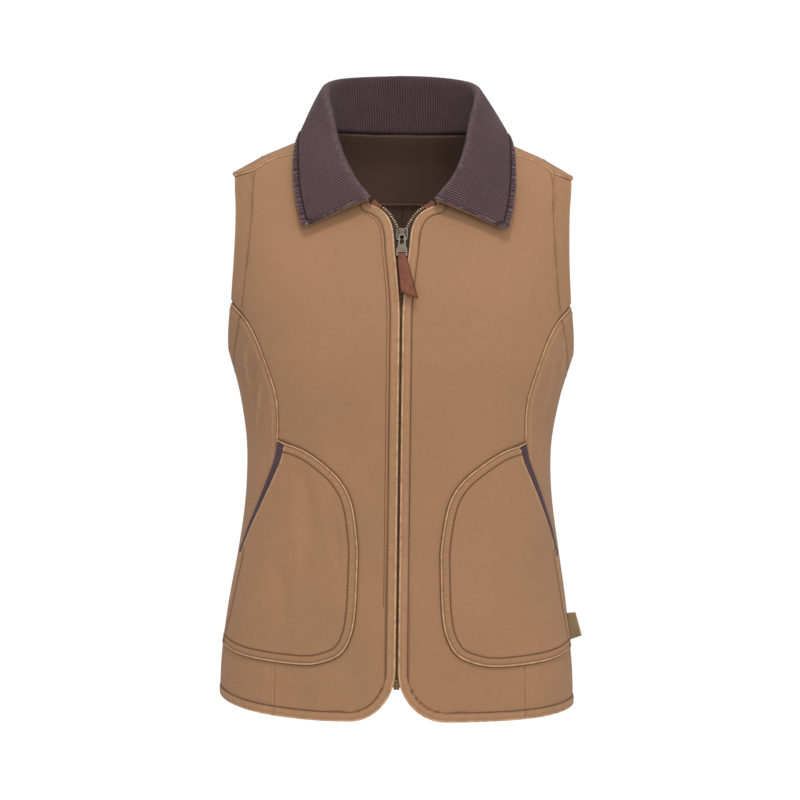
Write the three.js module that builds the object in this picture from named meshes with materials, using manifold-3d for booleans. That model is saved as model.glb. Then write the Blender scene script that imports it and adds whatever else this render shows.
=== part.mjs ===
// A sleeveless canvas work vest with a corduroy collar, shaped as it hangs on a body:
// five body panels, patch pockets, a folded collar and a separating zip with a hinged pull.
// Millimetres. +X is the wearer's left, +Y the back, +Z up. The origin lies between the side neck points.
import * as THREE from "three";
import { mergeVertices } from "three/addons/utils/BufferGeometryUtils.js";
import Module from "manifold-3d";

const wasm = await Module();
wasm.setup();

// Cloth thicknesses and the gaps left between pieces
const PANEL_WALL = 2.4;
const POCKET_WALL = 1.6;
const TRIM_WALL = 1.9;
const FACING_WALL = 1.2;
const CORDUROY_WALL = 1.9;
const UNDER_COLLAR_WALL = 1.3;
const LAYER_GAP = 0.5;
const LINING_GAP = 0.9;
const POCKET_LIFT = 1.1;
const FACING_LIFT = 1.4;
const SEAM_GAP = 0.5;

// Horizontal sections of the outer face, hem to neck: half width, and depth before and behind the origin
const SECTIONS = [
  { z: -640, half: 187, front: 122, back: 114 },
  { z: -606, half: 185.5, front: 121, back: 113 },
  { z: -560, half: 184, front: 120, back: 112 },
  { z: -500, half: 177, front: 118, back: 108 },
  { z: -440, half: 167.5, front: 115, back: 100 },
  { z: -390, half: 161, front: 114, back: 92 },
  { z: -350, half: 159, front: 116, back: 88 },
  { z: -320, half: 160.5, front: 119, back: 90 },
  { z: -280, half: 167.5, front: 124, back: 96 },
  { z: -258, half: 173.5, front: 126, back: 100 },
  { z: -236, half: 180, front: 126.5, back: 103 },
  { z: -180, half: 186, front: 121, back: 108 },
  { z: -140, half: 187, front: 111, back: 109 },
  { z: -115, half: 187, front: 102, back: 108 },
  { z: -90, half: 186, front: 90, back: 104 },
  { z: -65, half: 184, front: 76, back: 98 },
  { z: -50.5, half: 178, front: 66, back: 93 },
  { z: -44, half: 168, front: 62, back: 90.5 },
  { z: -38, half: 157.5, front: 58, back: 88 },
  { z: -31.5, half: 146, front: 53.5, back: 85 },
  { z: -25, half: 131, front: 49, back: 81 },
  { z: -19, half: 117, front: 45, back: 77 },
  { z: -10, half: 97, front: 39, back: 70 },
  { z: 0, half: 78, front: 32, back: 63 },
  { z: 8, half: 66, front: 27, back: 58 },
];
const ROUNDNESS = 2.4;

// Soft folds of the hanging cloth: a valley or ridge along a line of heights, lift outwards
const FOLDS = [
  { angle: -33, low: -602, high: -556, reach: 9, lift: 2.2 },
  { angle: -47, low: -602, high: -548, reach: 8, lift: -2.0 },
  { angle: -40, low: -520, high: -400, reach: 14, lift: -2.4 },
  { angle: -28, low: -500, high: -430, reach: 9, lift: 1.8 },
  { angle: -70, low: -330, high: -215, reach: 9, lift: -3.0 },
  { angle: 70, low: -320, high: -215, reach: 9, lift: -2.4 },
  { angle: 24, low: -596, high: -560, reach: 12, lift: -1.8 },
  { angle: 58, low: -602, high: -560, reach: 10, lift: 1.8 },
  { angle: 165, low: -520, high: -380, reach: 14, lift: 2.2 },
  { angle: -160, low: -500, high: -360, reach: 13, lift: 2.2 },
  { angle: 128, low: -420, high: -300, reach: 12, lift: -2.0 },
  { angle: -128, low: -430, high: -310, reach: 12, lift: -2.0 },
];
const FOLD_FADE = 34;

// Outlines on the front, seen from straight ahead: distance from the zip line, and height
const HEM_Z = -606;
const HEM_RISE = { right: 12, left: 5 };
const SWAY = { shift: 3.2, span: 190 };
const HEM_CORNER = { across: 48, up: 52 };
const ZIP_EDGE = [
  { x: 1.2, z: -200 },
  { x: 1.9, z: -181 },
  { x: 4.6, z: -151 },
  { x: 7.0, z: -131 },
  { x: 8.0, z: -119 },
  { x: 9.6, z: -108 },
  { x: 13.5, z: -98.5 },
  { x: 19.0, z: -92 },
  { x: 26.0, z: -87.5 },
  { x: 34.0, z: -84.5 },
];
const FRONT_NECK = [
  { x: 34.0, z: -84.5 },
  { x: 45.0, z: -68 },
  { x: 56.0, z: -49 },
  { x: 64.5, z: -33 },
  { x: 70.0, z: -18 },
];
const SHOULDER_SEAM = [
  { x: 70, z: -18 },
  { x: 113, z: -31 },
  { x: 133, z: -36.5 },
  { x: 144, z: -42 },
  { x: 155, z: -49.5 },
  { x: 175, z: -55.5 },
];
const FRONT_ARMHOLE = [
  { x: 175.0, z: -186 },
  { x: 173.2, z: -150 },
  { x: 172.5, z: -120 },
  { x: 172.8, z: -90 },
  { x: 174.2, z: -70 },
  { x: 175.0, z: -55.5 },
];
const PRINCESS_SEAM = [
  { x: 128.0, z: -606 },
  { x: 126.5, z: -460 },
  { x: 125.8, z: -323 },
  { x: 125.8, z: -298 },
  { x: 128.3, z: -277 },
  { x: 137.3, z: -249 },
  { x: 147.5, z: -223 },
  { x: 157.8, z: -204 },
  { x: 167.4, z: -193 },
  { x: 175.0, z: -186 },
];

// Outlines round the side and back: direction angle (0 ahead, 90 at the side, 180 behind) and height
const UNDERARM = [
  { angle: 78.5, z: -210 },
  { angle: 83.5, z: -228 },
  { angle: 90, z: -236 },
  { angle: 96.5, z: -228 },
  { angle: 101.5, z: -210 },
];
const BACK_ARMHOLE = [
  { angle: 104.9, z: -120 },
  { angle: 103.5, z: -80 },
  { angle: 99, z: -57 },
  { angle: 90, z: -50.5 },
];
const BACK_NECK_Z = -4.5;
const BACK_NECK = [
  { angle: 150, z: -4 },
  { angle: 120, z: -3 },
  { angle: 90, z: -4 },
  { angle: 75, z: -9.5 },
];

// Patch pocket: mouth, side edge, and the curved sewn edge from the top corner to the bottom
const POCKET_MOUTH = [
  { x: 118.5, z: -326.5 },
  { x: 123.5, z: -344 },
  { x: 133.5, z: -366 },
  { x: 143.5, z: -389 },
  { x: 154.0, z: -417 },
  { x: 162.0, z: -445 },
];
const POCKET_SIDE = [
  { x: 162.0, z: -445 },
  { x: 170.5, z: -490 },
  { x: 177.0, z: -525 },
  { x: 180.0, z: -540 },
];
const POCKET_TOP = [
  { x: 118.5, z: -326.5 },
  { x: 100.5, z: -332.5 },
  { x: 80.4, z: -345 },
  { x: 60.2, z: -363 },
];
const POCKET_INNER = [
  { x: 60.2, z: -363 },
  { x: 47.6, z: -386.5 },
  { x: 41.0, z: -427 },
  { x: 40.8, z: -455 },
  { x: 42.4, z: -495 },
  { x: 47.1, z: -520.5 },
  { x: 58.0, z: -539 },
];
const POCKET_BOTTOM = [
  { x: 180.0, z: -540 },
  { x: 164.0, z: -546 },
  { x: 140.0, z: -549.5 },
  { x: 100.0, z: -551.5 },
  { x: 78.0, z: -548.5 },
  { x: 58.0, z: -539 },
];
const POCKET_MOUTH_DRAW = { right: 4.2, left: 0.8 };
const TRIM_WIDTH = { top: 7.5, bottom: 2.6 };

// Collar, front end to centre back: roll line and outer edge; its foot follows the neck seam
const COLLAR = [
  { rollX: 33, rollY: -99, rollZ: -76, edgeX: 101, edgeY: -100, edgeZ: -107 },
  { rollX: 54, rollY: -84, rollZ: -52, edgeX: 109.5, edgeY: -85, edgeZ: -82 },
  { rollX: 65.5, rollY: -66, rollZ: -24, edgeX: 113, edgeY: -68, edgeZ: -56 },
  { rollX: 71.5, rollY: -42, rollZ: 8, edgeX: 112.5, edgeY: -44, edgeZ: -29.5 },
  { rollX: 77, rollY: -8, rollZ: 32, edgeX: 108.5, edgeY: -10, edgeZ: -12 },
  { rollX: 75, rollY: 29, rollZ: 45.5, edgeX: 104, edgeY: 30, edgeZ: -13 },
  { rollX: 60, rollY: 57, rollZ: 53.5, edgeX: 81, edgeY: 66, edgeZ: -15 },
  { rollX: 32, rollY: 71, rollZ: 57.5, edgeX: 43, edgeY: 86, edgeZ: -15 },
  { rollX: 0, rollY: 75, rollZ: 59, edgeX: 0, edgeY: 91, edgeZ: -15 },
];
const COLLAR_LEAN = 0.022;
const COLLAR_EDGE_SHIFT = 2.6;
const COLLAR_FOLD_RADIUS = 3;
const COLLAR_FALL_BEND = 0.14;
const COLLAR_SEAM_GAP = 2.7;

// Zip: centre line of one row of teeth, closed and then parting above the slider, and the parts on it
const ZIP_STRAIGHT = [
  { x: 1.35, z: -563 },
  { x: 1.35, z: -128 },
];
const ZIP_PARTING = [
  { x: 1.35, z: -128 },
  { x: 1.5, z: -120 },
  { x: 3.0, z: -113 },
  { x: 6.2, z: -104.5 },
  { x: 10.5, z: -97 },
  { x: 15.5, z: -90.5 },
  { x: 21.0, z: -86 },
];
const ZIP_END = [
  { x: 21.35, z: -85.72 },
  { x: 26.5, z: -82 },
  { x: 30.3, z: -78.5 },
];
const TEETH = { half: 1.1, depth: 2 };
const TAPE = { start: 1.4, end: 12, wall: 0.8 };
const SLIDER = { z: -114.5, width: 11.4, length: 13, plate: 1.2, throat: 3.3, flange: 0.8 };
const BRIDGE = { width: 2.4, length: 8.6, rise: 4.4, wall: 1.3 };
const PULL = { width: 10.6, neck: 7.4, arms: 7.2, flare: 3.4, length: 24, wall: 1.5, bar: 1.5 };
const PULL_WINDOW = { width: 4.4, length: 10.5 };
const PULL_SLOT = { width: 8, length: 2.4 };
const PULL_AXIS = { lift: 1.55, up: -1.3 };
const LEATHER = {
  wall: 1.3, eye: 0.35, loop: 7.4, flare: 9.6, left: { x: -0.8, down: 39.5 }, right: { x: 15.8, down: 47.5 },
};
const BOX = { width: 6, height: 10, depth: 3 };
const LABEL = { z: -519, angle: 82.8, height: 28, top: 8.5, bottom: 12.5, wall: 1.4, droop: 3 };
const FACING_DROP = 71;
const FACING_EDGE_ANGLE = 128;

// Number of facets along and across the pieces
const FACETS = {
  seam: 16, armhole: 8, across: 9, round: 14, mouth: 7, pocket: 11, pocketAcross: 13, collar: 13,
};

const rad = THREE.MathUtils.degToRad;
const deg = THREE.MathUtils.radToDeg;

// One column of a table at a given value of its key column, by a cubic through its rows
function column(rows, key, name, at) {
  let i = 0;
  const sign = Math.sign(rows[rows.length - 1][key] - rows[0][key]);
  while (i < rows.length - 2 && sign * at > sign * rows[i + 1][key]) i++;
  const slope = (k) => {
    const a = rows[Math.max(k - 1, 0)];
    const b = rows[Math.min(k + 1, rows.length - 1)];
    return (b[name] - a[name]) / (b[key] - a[key]);
  };
  const span = rows[i + 1][key] - rows[i][key];
  const t = THREE.MathUtils.clamp((at - rows[i][key]) / span, 0, 1);
  const [a, b] = [rows[i][name], rows[i + 1][name]];
  const [ma, mb] = [slope(i) * span, slope(i + 1) * span];
  return a + t * ma + t * t * (3 * (b - a) - 2 * ma - mb) + t * t * t * (2 * (a - b) + ma + mb);
}

// Outward lift of the folds at a place on the cloth
function foldLift(angle, z) {
  return FOLDS.reduce((sum, fold) => {
    const along = THREE.MathUtils.smoothstep(z, fold.low - FOLD_FADE, fold.low + FOLD_FADE / 2)
      * (1 - THREE.MathUtils.smoothstep(z, fold.high - FOLD_FADE / 2, fold.high + FOLD_FADE));
    const away = (angle - fold.angle) / fold.reach;
    return sum + fold.lift * along * Math.exp(-away * away);
  }, 0);
}

// Place on the cloth's outer face in a direction, at a height
function bodyPoint(angle, z) {
  const depth = column(SECTIONS, "z", Math.abs(angle) < 90 ? "front" : "back", z);
  const side = Math.abs(Math.sin(rad(angle))) / column(SECTIONS, "z", "half", z);
  const ahead = Math.abs(Math.cos(rad(angle))) / depth;
  const reach = (side ** ROUNDNESS + ahead ** ROUNDNESS) ** (-1 / ROUNDNESS) + foldLift(angle, z);
  return new THREE.Vector3(reach * Math.sin(rad(angle)), -reach * Math.cos(rad(angle)), z);
}

// The same place with the outward normal there
function onBody({ angle, z }) {
  const step = 0.4;
  const across = bodyPoint(angle + step, z).sub(bodyPoint(angle - step, z));
  const up = bodyPoint(angle, z + step).sub(bodyPoint(angle, z - step));
  return { point: bodyPoint(angle, z), normal: across.cross(up).normalize() };
}

// Direction angle, to either side, of a place on the front given as distance from the zip line and height
function ahead({ x, z }, side) {
  const hung = x + side * SWAY.shift * Math.sin((Math.PI * x) / SWAY.span) ** 2;
  const share = Math.max(1 - (hung / column(SECTIONS, "z", "half", z)) ** ROUNDNESS, 0) ** (1 / ROUNDNESS);
  return { angle: deg(Math.atan2(hung, column(SECTIONS, "z", "front", z) * share)), z };
}

const allAhead = (line, side) => line.map((place) => ahead(place, side));

// Height of the hem in a direction: level ahead and behind, higher at the sides
function hemHeight(angle, side) {
  return HEM_Z + (side > 0 ? HEM_RISE.left : HEM_RISE.right) * Math.sin(rad(angle)) ** 8;
}

// Evenly spaced places along a smooth line through rows that hold {x, z} or {angle, z}
function along(rows, count) {
  const key = "x" in rows[0] ? "x" : "angle";
  const scale = key === "x" ? 1 : 3;
  const curve = new THREE.SplineCurve(rows.map((row) => new THREE.Vector2(row[key] * scale, row.z)));
  return curve.getSpacedPoints(count).map((p) => ({ [key]: p.x / scale, z: p.y }));
}

const reversed = (list) => [...list].reverse();
const joined = (...lists) => lists.flatMap((list, i) => (i ? list.slice(1) : list));

// Place part of the way from one place to another
function mixed(a, b, t) {
  return Object.fromEntries(Object.keys(a).map((key) => [key, a[key] + (b[key] - a[key]) * t]));
}

// Grid of places filling four lines: left and right run up, bottom and top run from left to right
function blended(left, right, bottom, top) {
  const rows = left.length - 1;
  const columns = bottom.length - 1;
  return left.map((start, i) => {
    const t = i / rows;
    return bottom.map((_, j) => {
      const s = j / columns;
      const place = mixed(start, right[i], s);
      for (const key of Object.keys(place)) {
        const low = bottom[j][key] - mixed(bottom[0], bottom[columns], s)[key];
        const high = top[j][key] - mixed(top[0], top[columns], s)[key];
        place[key] += (1 - t) * low + t * high;
      }
      return place;
    });
  });
}

// Closed wall of cloth over one or more grids of {point, normal}, between two lifts along the normals
function wall(grids, inner, outer) {
  const places = [];
  const known = new Map();
  const indexOf = (place) => {
    const key = place.point.toArray().map((v) => Math.round(v * 50)).join();
    if (!known.has(key)) known.set(key, places.push(place) - 1);
    return known.get(key);
  };
  const faces = [];
  for (const grid of grids) {
    for (let i = 0; i + 1 < grid.length; i++) {
      for (let j = 0; j + 1 < grid[0].length; j++) {
        const corners = [grid[i][j], grid[i][j + 1], grid[i + 1][j + 1], grid[i + 1][j]];
        const [a, b, c, d] = corners.map(indexOf);
        const [p, q, r, s] = corners.map((corner) => corner.point);
        const short = p.distanceTo(r) < q.distanceTo(s);
        const pair = short ? [[a, b, c], [a, c, d]] : [[a, b, d], [b, c, d]];
        faces.push(...pair.filter((f) => new Set(f).size === 3).map((f) => facing(f, places)));
      }
    }
  }
  const count = places.length;
  const raised = ({ point, normal }, lift) => point.clone().addScaledVector(normal, lift).toArray();
  const lifted = (lift) => places.flatMap((place) => raised(place, lift));
  const index = faces.flatMap((f) => [...f, f[0] + count, f[2] + count, f[1] + count]);
  const edges = new Set(faces.flatMap(([a, b, c]) => [`${a},${b}`, `${b},${c}`, `${c},${a}`]));
  for (const edge of edges) {
    const [a, b] = edge.split(",").map(Number);
    if (!edges.has(`${b},${a}`)) index.push(b, a, a + count, b, a + count, b + count);
  }
  const geometry = new THREE.BufferGeometry();
  const positions = [...lifted(outer), ...lifted(inner)];
  geometry.setAttribute("position", new THREE.Float32BufferAttribute(positions, 3));
  return geometry.setIndex(index);
}

// A triangle turned so that it faces the way of its normals
function facing([a, b, c], places) {
  const [p, q, r] = [a, b, c].map((i) => places[i].point);
  const face = q.clone().sub(p).cross(r.clone().sub(p));
  return face.dot(places[a].normal) > 0 ? [a, b, c] : [a, c, b];
}

const mirrored = (place, side) => ({ angle: place.angle * side, z: place.z });
const laid = (grid, side) => grid.map((row) => row.map((place) => onBody(mirrored(place, side))));
const laidAhead = (grid, side) => laid(grid.map((row) => allAhead(row, side)), side);
const shifted = (rows, dx) => rows.map(({ x, z }) => ({ x: x + dx, z }));
const SEAM_TURN = 0.24;

// Front panel of one side, from the zip edge to the princess seam and armhole
function frontPanel(side) {
  const { across, up } = HEM_CORNER;
  const edge = ZIP_EDGE[0];
  const corner = new THREE.EllipseCurve(edge.x + across, HEM_Z + up, across, up, Math.PI, 1.5 * Math.PI)
    .getPoints(6).map((p) => ({ x: p.x, z: p.y }));
  const seam = along(shifted(princessSeam(side), -SEAM_GAP / 2), FACETS.seam);
  const outer = joined(seam, along(FRONT_ARMHOLE, FACETS.armhole));
  const rise = along([{ x: edge.x, z: HEM_Z + up }, edge], FACETS.seam - 5);
  const neck = along(FRONT_NECK, FACETS.armhole - 2);
  const inner = joined(reversed(corner.slice(0, 4)), rise, along(ZIP_EDGE, 4), neck);
  const hem = joined(corner.slice(3), along([corner[6], seam[0]], FACETS.across - 3).map(({ x, z }) => {
    const level = HEM_Z + (seam[0].z - HEM_Z) * ((x - corner[6].x) / (seam[0].x - corner[6].x)) ** 3;
    return { x, z: level };
  }));
  const grid = blended(inner, outer, hem, along(SHOULDER_SEAM, FACETS.across));
  return wall([laidAhead(grid, side)], -PANEL_WALL, 0);
}

// Princess seam of one side, ending on the hem
function princessSeam(side) {
  const foot = PRINCESS_SEAM[0];
  const height = hemHeight(ahead(foot, side).angle, side);
  return [{ x: foot.x, z: height }, ...PRINCESS_SEAM.slice(1)];
}

// Side panel of one side, under the arm, between the front and back princess seams
function sidePanel(side) {
  const seam = allAhead(along(shifted(princessSeam(side), SEAM_GAP / 2), FACETS.seam), side);
  const back = seam.map(({ angle, z }) => ({ angle: 180 - angle, z }));
  const hem = hemLine(seam[0].angle, back[0].angle, FACETS.round, side);
  const top = along([seam.at(-1), ...UNDERARM, back.at(-1)], FACETS.round);
  return wall([laid(blended(seam, back, hem, top), side)], -PANEL_WALL, 0);
}

// Places along the hem between two directions
function hemLine(from, to, count, side) {
  return Array.from({ length: count + 1 }, (_, j) => {
    const angle = THREE.MathUtils.lerp(from, to, j / count);
    return { angle, z: hemHeight(angle, side) };
  });
}

// Back panel: both halves share the centre line, and reach over the shoulders to the front seam
function backPanel() {
  return wall([1, -1].map((side) => laid(backHalf(side), side)), -PANEL_WALL, 0);
}

function backHalf(side) {
  const seam = allAhead(along(princessSeam(side), FACETS.seam), side)
    .map(({ angle, z }) => ({ angle: 180 - angle + SEAM_TURN, z }));
  const shoulderLine = SHOULDER_SEAM.map(({ x, z }) => ({ x, z: z + SEAM_GAP }));
  const shoulder = allAhead(along(shoulderLine, FACETS.across), side);
  const armhole = along([seam.at(-1), ...BACK_ARMHOLE, shoulder.at(-1)], FACETS.armhole + 2);
  const middle = { angle: 180, z: BACK_NECK_Z };
  const centre = along([{ angle: 180, z: HEM_Z }, middle], FACETS.seam + 3);
  const neck = along([middle, ...BACK_NECK, shoulder[0]], FACETS.armhole - 1);
  const hem = hemLine(180, seam[0].angle, FACETS.across, side);
  return blended(joined(centre, neck), joined(seam, armhole), hem, shoulder);
}

// Facing inside the back neck, hanging below the collar seam
function backFacing() {
  const top = along([{ angle: FACING_EDGE_ANGLE, z: BACK_NECK_Z }, { angle: 180, z: BACK_NECK_Z }], 8);
  const columns = joined(top, reversed(top).map(({ angle, z }) => ({ angle: 360 - angle, z })));
  const lowered = (drop) => columns.map(({ angle, z }) => ({ angle, z: z - 1.5 - drop }));
  const grid = [0, 1, 2, 3].map((i) => lowered((FACING_DROP * i) / 3));
  const outer = -PANEL_WALL - FACING_LIFT;
  return wall([laid(reversed(grid), 1)], outer - FACING_WALL, outer);
}

// Patch pocket of one side, over the front and side panels, open along its slanted mouth
function pocket(side) {
  const inner = reversed(along(POCKET_INNER, FACETS.pocket));
  const mouth = pocketMouth(side);
  const outer = joined(reversed(along(POCKET_SIDE, FACETS.pocket - FACETS.mouth)), reversed(mouth));
  const bottom = reversed(along(POCKET_BOTTOM, FACETS.pocketAcross));
  const top = reversed(along(POCKET_TOP, FACETS.pocketAcross));
  const grid = blended(...[inner, outer, bottom, top].map((line) => allAhead(line, side)));
  return wall([laid(grid, side)], POCKET_LIFT, POCKET_LIFT + POCKET_WALL);
}

// The mouth's line, drawn in towards the zip between its ends
function pocketMouth(side) {
  const draw = side > 0 ? POCKET_MOUTH_DRAW.left : POCKET_MOUTH_DRAW.right;
  return along(POCKET_MOUTH, FACETS.mouth).map(({ x, z }, i) => ({
    x: x - draw * Math.sin((Math.PI * i) / FACETS.mouth),
    z,
  }));
}

// Corduroy strip beside the pocket mouth, tapering downwards
function pocketTrim(side) {
  const grid = pocketMouth(side).map(({ x, z }, i) => {
    const width = THREE.MathUtils.lerp(TRIM_WIDTH.top, TRIM_WIDTH.bottom, i / FACETS.mouth);
    return [0, 1, 2].map((j) => ({ x: x + SEAM_GAP + (width * j) / 2, z: z + j }));
  });
  return wall([laidAhead(reversed(grid), side)], POCKET_LIFT, POCKET_LIFT + TRIM_WALL);
}

// Collar layer: the folded surface from the neck seam up the stand, over the roll and down to the edge
function collarLayer(inner, outer) {
  const rows = joined(collarSections(1), reversed(collarSections(-1)));
  const grid = rows.map((row, i) => row.map((point, j) => {
    const before = rows[Math.max(i - 1, 0)][j];
    const after = rows[Math.min(i + 1, rows.length - 1)][j];
    const low = row[Math.max(j - 1, 0)];
    const high = row[Math.min(j + 1, row.length - 1)];
    return { point, normal: high.clone().sub(low).cross(after.clone().sub(before)).normalize() };
  }));
  return wall([grid], inner, outer);
}

// Cross-sections of half the collar, front end to centre back, each from its foot to its outer edge
function collarSections(side) {
  const table = COLLAR.map((row, i) => ({ ...row, i }));
  const front = allAhead(along(FRONT_NECK, 40), side);
  const behind = [front.at(-1), ...reversed(BACK_NECK), { angle: 180, z: BACK_NECK_Z }];
  const neck = joined(front, along(behind, 60));
  const seam = neck.map((place) => onBody(mirrored(place, side)));
  const lengths = [0];
  for (let k = 1; k < seam.length; k++) {
    lengths.push(lengths[k - 1] + seam[k].point.distanceTo(seam[k - 1].point));
  }
  return Array.from({ length: FACETS.collar + 1 }, (_, k) => {
    const share = k / FACETS.collar;
    const at = (name) => column(table, "i", name, share * (COLLAR.length - 1));
    const lean = (z) => COLLAR_LEAN * (COLLAR[0].rollZ - z);
    const roll = new THREE.Vector3(side * at("rollX") + lean(at("rollZ")), at("rollY"), at("rollZ"));
    const edgeX = side * at("edgeX") + lean(at("edgeZ")) + COLLAR_EDGE_SHIFT;
    const edge = new THREE.Vector3(edgeX, at("edgeY"), at("edgeZ"));
    return collarSection(footOf(seam, lengths, share), roll, edge);
  });
}

// Foot of the stand above the neck seam, at a share of the seam's length
function footOf(seam, lengths, share) {
  const want = share * lengths.at(-1);
  const k = Math.max(1, lengths.findIndex((length) => length >= want - 1e-9));
  const part = (want - lengths[k - 1]) / (lengths[k] - lengths[k - 1]);
  const point = seam[k - 1].point.clone().lerp(seam[k].point, part);
  return point.addScaledVector(seam[k].normal, -PANEL_WALL / 2);
}

// One cross-section: straight stand, round roll, then a fall that bends towards its edge
function collarSection(foot, roll, edge) {
  const up = roll.clone().sub(foot).normalize();
  const fall = edge.clone().sub(roll);
  const out = fall.clone().addScaledVector(up, -fall.dot(up)).normalize();
  const start = foot.clone().addScaledVector(up, COLLAR_SEAM_GAP);
  const base = roll.clone().addScaledVector(up, -COLLAR_FOLD_RADIUS);
  const centre = base.clone().addScaledVector(out, COLLAR_FOLD_RADIUS);
  const round = [0, 60, 120, 180].map((turn) => centre.clone()
    .addScaledVector(out, -COLLAR_FOLD_RADIUS * Math.cos(rad(turn)))
    .addScaledVector(up, COLLAR_FOLD_RADIUS * Math.sin(rad(turn))));
  const last = round.at(-1);
  const reach = COLLAR_FALL_BEND * foot.distanceTo(roll);
  const bend = new THREE.QuadraticBezierCurve3(last, last.clone().addScaledVector(up, -reach), edge);
  const middle = start.clone().lerp(base, 0.5);
  return [start, middle, ...round, ...bend.getPoints(4).slice(1)];
}

// Strip along a line on the front, between two distances to its outer side
function frontStrip(side, line, start, end, inner, outer) {
  const grid = line.map(({ x, z }, i) => {
    const before = line[Math.max(i - 1, 0)];
    const after = line[Math.min(i + 1, line.length - 1)];
    const way = new THREE.Vector2(after.x - before.x, after.z - before.z).normalize();
    return [start, end].map((d) => ({ x: x + way.y * d, z: z - way.x * d }));
  });
  return wall([laidAhead(grid, side)], inner, outer);
}

const TAPE_TOP = -PANEL_WALL - LINING_GAP;
const TEETH_TOP = TAPE_TOP - TAPE.wall / 2 + TEETH.depth / 2;

const ZIP_LINE = joined(along(ZIP_STRAIGHT, 13), along(ZIP_PARTING, 9));

function zipTeeth(side) {
  return frontStrip(side, ZIP_LINE, -TEETH.half, TEETH.half, TEETH_TOP - TEETH.depth, TEETH_TOP);
}

function zipTape(side) {
  return frontStrip(side, ZIP_LINE, TAPE.start, TAPE.end, TAPE_TOP - TAPE.wall, TAPE_TOP);
}

// Leather end of the zip tape, between the last tooth and the collar corner
function zipEnd(side) {
  return frontStrip(side, along(ZIP_END, 4), -1.4, 4.6, TAPE_TOP - 1.6, TAPE_TOP);
}

// Solids for joining and cutting, from closed geometry
function solid(geometry, x = 0, y = 0, z = 0) {
  const moved = geometry.clone().translate(x, y, z);
  moved.deleteAttribute("normal");
  moved.deleteAttribute("uv");
  const merged = mergeVertices(moved, 1e-4);
  const mesh = new wasm.Mesh({
    numProp: 3,
    vertProperties: new Float32Array(merged.attributes.position.array),
    triVerts: new Uint32Array(merged.index.array),
  });
  return new wasm.Manifold(mesh);
}

function geometryOf(made) {
  const mesh = made.getMesh();
  const geometry = new THREE.BufferGeometry();
  geometry.setAttribute("position", new THREE.BufferAttribute(mesh.vertProperties, 3));
  return geometry.setIndex(new THREE.BufferAttribute(mesh.triVerts, 1));
}

// Flat plate in the XZ plane with its front face at y = -wall and its back at y = 0
function plate(shape, thick) {
  const flat = new THREE.ExtrudeGeometry(shape, { depth: thick, bevelEnabled: false, curveSegments: 5 });
  return flat.rotateX(Math.PI / 2);
}

function roundedRectangle(width, low, high, radius) {
  const shape = new THREE.Shape();
  shape.moveTo(-width / 2 + radius, low);
  shape.absarc(width / 2 - radius, low + radius, radius, -Math.PI / 2, 0);
  shape.absarc(width / 2 - radius, high - radius, radius, 0, Math.PI / 2);
  shape.absarc(-width / 2 + radius, high - radius, radius, Math.PI / 2, Math.PI);
  shape.absarc(-width / 2 + radius, low + radius, radius, Math.PI, 1.5 * Math.PI);
  return shape;
}

// Slider: plates before and behind the teeth, flanges, a wedge between the parting rows, and a bridge
function zipSlider() {
  const { width, length, plate: thick, throat, flange } = SLIDER;
  const outline = roundedRectangle(width, -length / 2, length / 2, 2.6);
  const wedge = new THREE.Shape([
    new THREE.Vector2(-0.5, 2.2),
    new THREE.Vector2(0.5, 2.2),
    new THREE.Vector2(1.5, length / 2),
    new THREE.Vector2(-1.5, length / 2),
  ]);
  let made = solid(plate(outline, thick)).add(solid(plate(outline, thick), 0, throat + thick, 0));
  made = made.add(solid(plate(wedge, throat + 0.4), 0, throat + 0.2, 0));
  for (const side of [-1, 1]) {
    const rail = new THREE.BoxGeometry(0.8, flange + 0.2, length * 0.5);
    const x = side * (width / 2 - 0.4);
    made = made.add(solid(rail, x, flange / 2 - 0.1, -length * 0.15));
    made = made.add(solid(rail, x, throat - flange / 2 + 0.1, -length * 0.15));
  }
  return geometryOf(made.add(bridge(thick)));
}

// Arched bridge on the slider's front plate, with a way through it for the pull's bar
function bridge(thick) {
  const { width, length, rise, wall: metal } = BRIDGE;
  const arch = new THREE.Shape();
  arch.moveTo(-length / 2, 0.3);
  arch.lineTo(-length / 2 + 0.8, -rise);
  arch.lineTo(length / 2 - 0.8, -rise);
  arch.lineTo(length / 2, 0.3);
  const way = new THREE.Path();
  way.moveTo(-length / 2 + metal, 0);
  way.lineTo(length / 2 - metal, 0);
  way.lineTo(length / 2 - metal - 0.6, -rise + metal);
  way.lineTo(-length / 2 + metal + 0.6, -rise + metal);
  arch.holes.push(way);
  const standing = new THREE.ExtrudeGeometry(arch, { depth: width, bevelEnabled: false });
  return solid(standing.rotateY(Math.PI / 2), -width / 2, -thick, 0);
}

// Metal pull hanging from its bar at the origin, with a window round the bridge and a slot for the leather
function zipPull() {
  const { length, wall: thick, bar } = PULL;
  const body = solid(plate(pullOutline(bar / 2 - length, bar / 2), thick), 0, thick / 2, 0);
  const windowLow = -bar / 2 - PULL_WINDOW.length;
  const window = roundedRectangle(PULL_WINDOW.width, windowLow, -bar / 2, 1.7);
  const slotLow = bar / 2 - length + bar;
  const slot = roundedRectangle(PULL_SLOT.width, slotLow, slotLow + PULL_SLOT.length, 0.6);
  const [seen, looped] = [window, slot].map((shape) => solid(plate(shape, thick * 2), 0, thick, 0));
  return geometryOf(body.subtract(seen).subtract(looped));
}

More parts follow.
